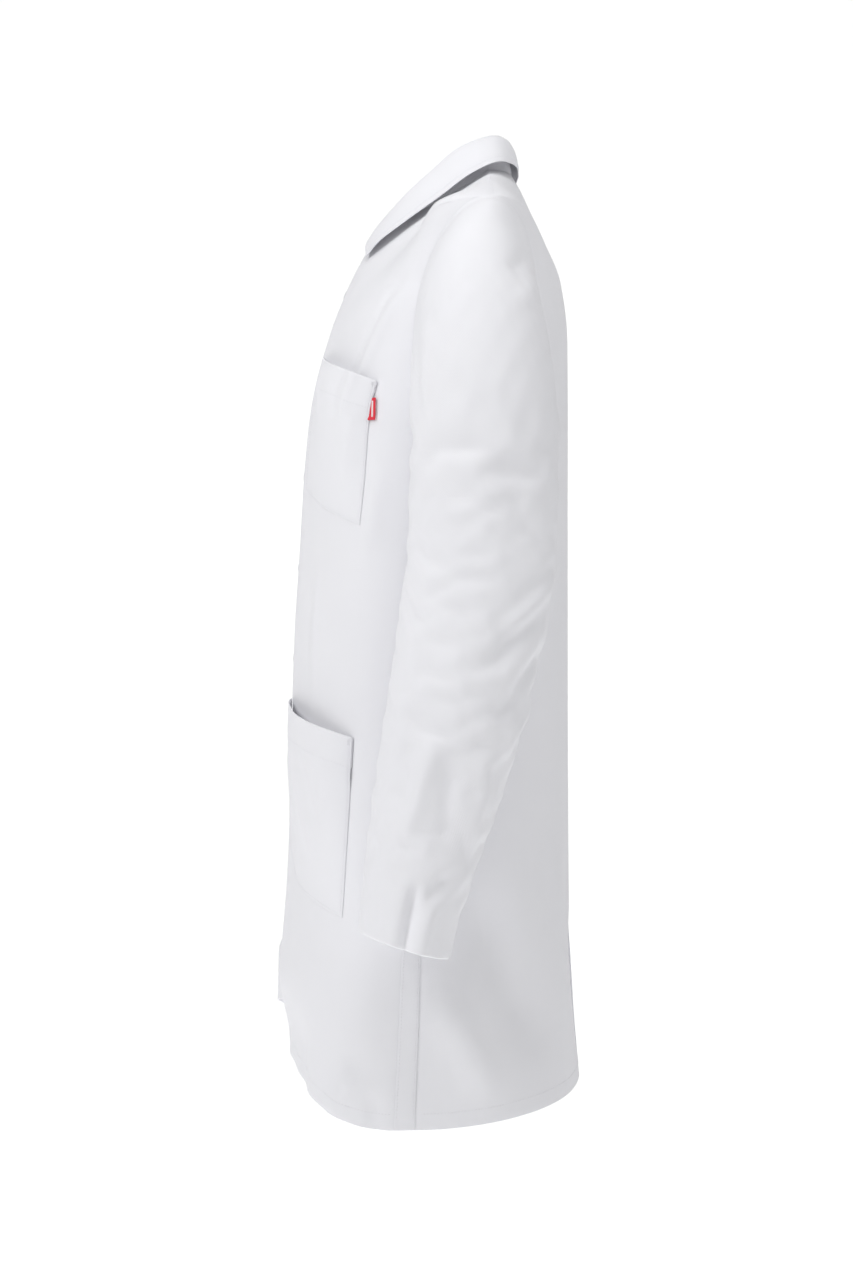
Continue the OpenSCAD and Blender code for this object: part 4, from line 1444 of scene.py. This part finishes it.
def tag():
    """Blank ribbon folded over and caught in the rear edge of the chest pocket."""
    root_turn = CHEST_POCKET.rear_turn - 1.4
    root = body_at(root_turn, TAG_Z, 1.0, LEFT)
    out = body_out(np.array(root_turn), np.array(TAG_Z), LEFT)
    ahead = unit(body_at(root_turn + 2, TAG_Z, 1.0, LEFT) - root + 0.35 * out)
    up = unit(np.cross(ahead, -out))
    up = up * np.sign(up[2])
    face = unit(np.cross(-up, ahead))
    half = TAG_FOLD_R
    outline = [(s, half) for s in np.linspace(0, TAG_W - half, 14)]
    outline += [(TAG_W - half + half * sin_deg(a), half * cos_deg(a)) for a in (30, 60, 90, 120, 150)]
    outline += [(s, -half) for s in np.linspace(TAG_W - half, 0, 14)]
    rows = np.linspace(TAG_H / 2, -TAG_H / 2, 24)

    def at(s, f, z):
        wave = TAG_WAVE * math.sin(z / 4.0) * s / TAG_W
        return root + ahead * s + face * (f + wave) + up * z

    grid = np.array([[at(s, f + 0.3, z) for s, f in outline] for z in rows])
    ribbon = cloth("pocket_tag_ribbon", grid, TAG_CLOTH, TAG)
    across = np.linspace(*TAG_STRIPE, 6)
    line = np.array([[at(s, half + 0.42, z) for s in across] for z in rows[3:-3]])
    stripe = cloth("pocket_tag_stripe", line, 0.12, TAG_LINE)
    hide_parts("pocket_tag")
    for piece in (ribbon, stripe):
        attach(piece, "torso")


LABEL_HALF_W = 22.0
LABEL_TOP_Z = -34.0
LABEL_H = 24.0
LABEL_CLOTH = 0.35


def neck_label():
    z = np.linspace(LABEL_TOP_Z, LABEL_TOP_Z - LABEL_H, 24)[:, None]
    x = np.linspace(0.0, LABEL_HALF_W, 20)
    turn = turn_at_back_x(x, z)
    lift = -CLOTH - 0.45
    left = body_at(turn, z, lift, LEFT)[:, ::-1]
    right = body_at(turn, z, lift, RIGHT)[:, 1:]
    grid = np.concatenate([left, right], axis=1)
    piece = cloth("neck_label_cloth", grid, LABEL_CLOTH, TAPE)
    inner = grid[1:-1, 1:-1] - LABEL_CLOTH * grid_normals(grid, False)[1:-1, 1:-1]
    way = -grid_normals(grid, False)[1:-1, 1:-1]
    border = [(inner[0], way[0]), (inner[-1], way[-1]), (inner[:, 0], way[:, 0]), (inner[:, -1], way[:, -1])]
    thread_piece = stitches("neck_label_stitches", border)
    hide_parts("neck_label")
    for part in (piece, thread_piece):
        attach(part, "torso")


LOOP_HALF_W = 28.0
LOOP_DROP = 18.0
LOOP_STRIP = 6.0
LOOP_LEAN = 30.0
LOOP_Z = -7.0
LOOP_CLOTH = 1.0


def hanger_loop():
    """Folded tape bent to a U whose ends are caught in the back neck seam."""
    root_y = body_base(turn_at_back_x(LOOP_HALF_W, LOOP_Z), LOOP_Z)[1] - 2.4
    angle = np.linspace(180, 360, 56)
    rows = []
    for inset in np.linspace(LOOP_STRIP, 0, 9):
        half, drop = LOOP_HALF_W - inset, LOOP_DROP - inset
        along = drop * sin_deg(angle)
        crown = 0.16 * math.sin(math.pi * inset / LOOP_STRIP) + LOOP_CLOTH / 2
        rows.append(stack(
            half * cos_deg(angle),
            root_y + along * sin_deg(LOOP_LEAN) - crown * cos_deg(LOOP_LEAN),
            LOOP_Z + along * cos_deg(LOOP_LEAN) + crown * sin_deg(LOOP_LEAN),
        ))
    grid = np.array(rows)
    piece = cloth("hanger_loop_tape", grid, LOOP_CLOTH, TAPE)
    normal = grid_normals(grid, False)
    thread_piece = stitches("hanger_loop_stitches", [(grid[1], normal[1]), (grid[-2], normal[-2])])
    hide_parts("hanger_loop")
    for part in (piece, thread_piece):
        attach(part, "loop")


# ---- snaps
SNAP_TOP_Z = -124.0
SNAP_PITCH = 95.0
CAP_PROFILE = [
    (0.0, 1.15), (1.4, 1.15), (2.2, 1.25), (2.8, 1.5), (3.6, 1.55), (4.3, 1.35),
    (4.9, 0.9), (5.25, 0.35), (5.1, 0.0), (0.0, 0.0),
]
SOCKET_PROFILE = [(2.5, 0.0), (2.5, 0.4), (3.0, 0.5), (3.6, 0.42), (4.1, 0.0), (2.5, 0.0)]
STUD_PROFILE = [(0.0, 0.72), (1.4, 0.72), (1.85, 0.55), (1.7, 0.25), (2.6, 0.1), (2.6, 0.0), (0.0, 0.0)]
POST_PROFILE = [(0.0, 0.7), (2.0, 0.75), (3.4, 1.0), (4.3, 0.8), (4.5, 0.0), (0.0, 0.0)]
LATHE_SIDES = 40


def lathe(places, profile):
    """Points and faces of a profile turned about each (place, outward direction)."""
    points, faces = [], []
    for place, out in places:
        side_way = unit(np.cross(out, (0.0, 0.0, 1.0)))
        up = np.cross(side_way, out)
        marks = []
        for r, h in profile:
            if r == 0:
                marks.append([len(points)])
                points.append(place + out * h)
                continue
            marks.append(list(range(len(points), len(points) + LATHE_SIDES)))
            for k in range(LATHE_SIDES):
                a = math.tau * k / LATHE_SIDES
                points.append(place + out * h + r * (math.cos(a) * side_way + math.sin(a) * up))
        if profile[0] == profile[-1]:
            del points[-LATHE_SIDES:]
            marks[-1] = marks[0]
        for low, high in zip(marks, marks[1:]):
            for k in range(LATHE_SIDES):
                n = (k + 1) % LATHE_SIDES
                face = [low[k % len(low)], low[n % len(low)], high[n % len(high)], high[k % len(high)]]
                faces.append([c for i, c in enumerate(face) if c != face[i - 1]])
    return points, faces


def snap_piece(node, material, profile, heights, side, lift, flip=False):
    """One kind of snap part at the given heights on the centre front."""
    places = []
    for z in heights:
        out = body_out(np.array(0.0), np.array(z), side)
        place = body_at(0.0, z, lift, side)
        places.append((place, -out if flip else out))
    points, faces = lathe(places, profile)
    piece = make_mesh(node + "_metal", points, faces, material, sharp=32)
    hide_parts(node)
    return piece


SNAP_GROUPS = [("upper_snap", "s", [0, 1, 2]), ("waist_snap", "", [3]), ("hip_snap", "", [4]),
               ("lower_snap", "s", [5])]
SNAP_PARTS = [
    ("_cap", SNAP_CAP, CAP_PROFILE, LEFT, LAP_LIFT + 0.05, False),
    ("_socket", SNAP_METAL, SOCKET_PROFILE, LEFT, LAP_LIFT - CLOTH - LAYER - 0.6, True),
    ("_stud", SNAP_METAL, STUD_PROFILE, RIGHT, 0.05, False),
    ("_post", SNAP_METAL, POST_PROFILE, RIGHT, -CLOTH - LAYER - 0.65, True),
]


def snaps():
    for group, plural, steps in SNAP_GROUPS:
        heights = [SNAP_TOP_Z - step * SNAP_PITCH for step in steps]
        for part, material, profile, side, lift, flip in SNAP_PARTS:
            piece = snap_piece(group + part + plural, material, profile, heights, side, lift, flip)
            if group == "upper_snap":
                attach(piece, "torso")
            else:
                open_with_front(piece, side)


# ---- how the worn cloth settles
SIM_FRAMES = 20
SIM_COLS = 132
SIM_TOP_Z = -290.0
SIM_BOTTOM_Z = -955.0
SIM_CELL = 10.0
SLEEVE_SKIP = 3
MOST_BODY_MOVE = 9.0
MOST_SLEEVE_MOVE = 6.0
HOLD_LIGHT = 0.42
HOLD_FADE = 90.0
# The doubled cloth of the centre front and the centre back seam moves less.
FIRM_FRONT = 0.25
FIRM_BACK = 0.15
BODY_SWELL = 0.022
SLEEVE_SWELL = 0.045
BODY_SOFTENING = 5
CLOTH_SETTINGS = {
    "quality": 5, "mass": 0.25, "tension_stiffness": 12, "compression_stiffness": 12,
    "shear_stiffness": 4, "bending_stiffness": 4.0, "pin_stiffness": 1.2,
}


def settle(name, grid, hold, swell):
    """Lets a tube of cloth settle under its weight; returns each point's movement."""
    rows, cols = grid.shape[:2]
    faces = [
        [i * cols + j, (i + 1) * cols + j, (i + 1) * cols + (j + 1) % cols, i * cols + (j + 1) % cols]
        for i in range(rows - 1) for j in range(cols)
    ]
    tube = make_mesh(name, grid.reshape(-1, 3), faces, COAT)
    group = tube.vertex_groups.new(name="hold")
    for index, weight in enumerate(hold.ravel()):
        group.add([index], float(weight), "REPLACE")
    settings = tube.modifiers.new("cloth", "CLOTH").settings
    for key, value in CLOTH_SETTINGS.items():
        setattr(settings, key, value)
    settings.vertex_group_mass = "hold"
    settings.shrink_min = -swell
    scene = bpy.context.scene
    for number in range(1, SIM_FRAMES + 1):
        scene.frame_set(number)
    settled = tube.evaluated_get(bpy.context.evaluated_depsgraph_get()).data
    flat = np.empty(len(settled.vertices) * 3)
    settled.vertices.foreach_get("co", flat)
    moved = flat.reshape(rows, cols, 3) / MM - grid
    scene.frame_set(1)
    bpy.data.objects.remove(tube)
    return moved


def limited(moves, most):
    far = np.maximum(np.linalg.norm(moves, axis=-1, keepdims=True), 1e-6)
    return moves * (most * np.tanh(far / most) / far)


def soften(moves, axis):
    """Rounds off the steps between the points of a coarse grid along one axis."""
    m = np.moveaxis(moves, axis, 0)
    inner = (m[:-2] + 2 * m[1:-1] + m[2:]) / 4
    return np.moveaxis(np.concatenate([m[:1], inner, m[-1:]]), 0, axis)


def resampled(moves, shape):
    """A finer grid of the same movement."""
    for axis in (0, 1):
        old = np.linspace(0, 1, moves.shape[axis])
        new = np.linspace(0, 1, shape[axis])
        moves = np.apply_along_axis(lambda line: np.interp(new, old, line), axis, moves)
        for _ in range(3):
            moves = soften(moves, axis)
    return moves


def settle_body():
    z = np.arange(SIM_TOP_Z, SIM_BOTTOM_Z, -SIM_CELL)
    turn = np.linspace(-180, 180, SIM_COLS + 1)
    halves = [
        body_at(-turn[turn < 0], z[:, None], 0.0, RIGHT),
        body_at(turn[turn >= 0][:-1], z[:, None], 0.0, LEFT),
    ]
    grid = np.concatenate(halves, axis=1)
    free = ease((SIM_TOP_Z - z[:, None]) / HOLD_FADE)
    firm = FIRM_FRONT * bump(turn[:-1], 12.0) + FIRM_BACK * bump(np.abs(turn[:-1]) - 180, 8.0)
    hold = np.clip(mix(1.0, HOLD_LIGHT + firm, free), 0, 1)
    hold[0] = 1.0
    moves = settle("body_drape", grid, hold, BODY_SWELL)
    moves = np.concatenate([moves, moves[:, :1]], axis=1)
    for _ in range(BODY_SOFTENING):
        moves = soften(soften(moves, 0), 1)
    moves = limited(moves, MOST_BODY_MOVE)
    fine = resampled(moves, (4 * len(z), 4 * SIM_COLS + 1))
    fine_turn = np.linspace(-180, 180, fine.shape[1])
    fine_z = np.linspace(z[0], z[-1], fine.shape[0])
    drape["body"] = Field(fine_turn, fine_z, fine)


def settle_sleeves():
    found = {}
    for side in (LEFT, RIGHT):
        whole = sleeve_grid(side)[0]
        grid = whole[HEAD_ROWS // 2::SLEEVE_SKIP, ::SLEEVE_SKIP]
        reach = (grid[0, :, 2].mean() - grid[..., 2].mean(axis=1))[:, None]
        hold = np.repeat(mix(1.0, HOLD_LIGHT, ease(reach / HOLD_FADE)), grid.shape[1], axis=1)
        hold[0] = 1.0
        moves = settle(SIDE_NAME[side] + "_sleeve_drape", grid, hold, SLEEVE_SWELL)
        moves = limited(moves, MOST_SLEEVE_MOVE)
        round_moves = np.concatenate([moves, moves[:, :1]], axis=1)
        rest = whole.shape[0] - HEAD_ROWS // 2
        fine = resampled(round_moves, (rest, whole.shape[1] + 1))[:, :-1]
        still = np.zeros((HEAD_ROWS // 2, whole.shape[1], 3))
        found[side] = np.concatenate([still, fine])
    drape["sleeves"] = found


# ---- the coat put together
settle_sleeves()
settle_body()
for side in (LEFT, RIGHT):
    front_piece(side)
    back_piece(side)
    sleeve(side)
    pocket(SIDE_NAME[side] + "_hip_pocket", HIP_POCKET, side)
pocket("chest_pocket", CHEST_POCKET, LEFT)
vent_piece()
shoulder_stitches()
collar()
tag()
neck_label()
hanger_loop()
snaps()


# ---- camera, light and setting
def soft_light(name, energy, place, target, size):
    """Square area light with white colour, aimed at the target."""
    data = bpy.data.lights.new(name, "AREA")
    data.energy = energy
    data.shape = "RECTANGLE"
    data.size = data.size_y = size
    lamp = in_scene(name, data)
    lamp.location = place
    lamp.rotation_euler = (Vector(target) - Vector(place)).to_track_quat("-Z", "Y").to_euler()


SENSOR_HEIGHT = 36.0
LENS = 56.25
CAMERA_PLACE = (2.1, -0.0142, -0.485)


def camera():
    """Level camera square to the wearer's left side."""
    data = bpy.data.cameras.new("camera")
    data.sensor_fit = "VERTICAL"
    data.sensor_height = SENSOR_HEIGHT
    data.lens = LENS
    cam = in_scene("camera", data)
    cam.location = CAMERA_PLACE
    cam.rotation_euler = (math.radians(90), 0, math.radians(90))
    bpy.context.scene.camera = cam


BACKDROP_GLOW = 0.62
WORLD_GLOW = 0.1


def backdrop():
    """Plain pale floor that sweeps up into one wall, opposite the camera."""
    n = Nodes("studio_white")
    n.set(Base_Color=(0.9, 0.9, 0.9, 1), Roughness=0.9)
    n.set(Emission_Color=(1, 1, 1, 1), Emission_Strength=BACKDROP_GLOW)
    reach, floor_z, bend = 5.0, -1.35, 1.2
    profile = [(-reach, 3.5)] + [
        (-reach + bend * (1 - math.cos(a)), floor_z + bend * (1 - math.sin(a)))
        for a in np.linspace(0, math.pi / 2, 12)
    ]
    profile.append((reach, floor_z))
    points, faces = [], []
    for x, z in profile:
        points += [(x, -reach, z), (x, reach, z)]
    for i in range(len(profile) - 1):
        faces.append([2 * i, 2 * i + 1, 2 * i + 3, 2 * i + 2])
    mesh = bpy.data.meshes.new("backdrop")
    mesh.from_pydata(points, [], faces)
    mesh.materials.append(n.material)
    in_scene("backdrop", mesh)


def world():
    w = bpy.data.worlds.new("studio")
    w.use_nodes = True
    ground = w.node_tree.nodes["Background"]
    ground.inputs[0].default_value = (1, 1, 1, 1)
    ground.inputs[1].default_value = WORLD_GLOW
    bpy.context.scene.world = w


bpy.context.scene.view_settings.view_transform = "Standard"
world()
backdrop()
soft_light("key", 42, (1.5, -2.1, 1.15), (0, 0, -0.4), 1.6)
soft_light("top", 24, (1.0, 0.1, 2.0), (0, 0, -0.2), 1.4)
soft_light("back_fill", 16, (1.2, 1.6, 1.4), (0, 0.1, -0.2), 1.2)
camera()
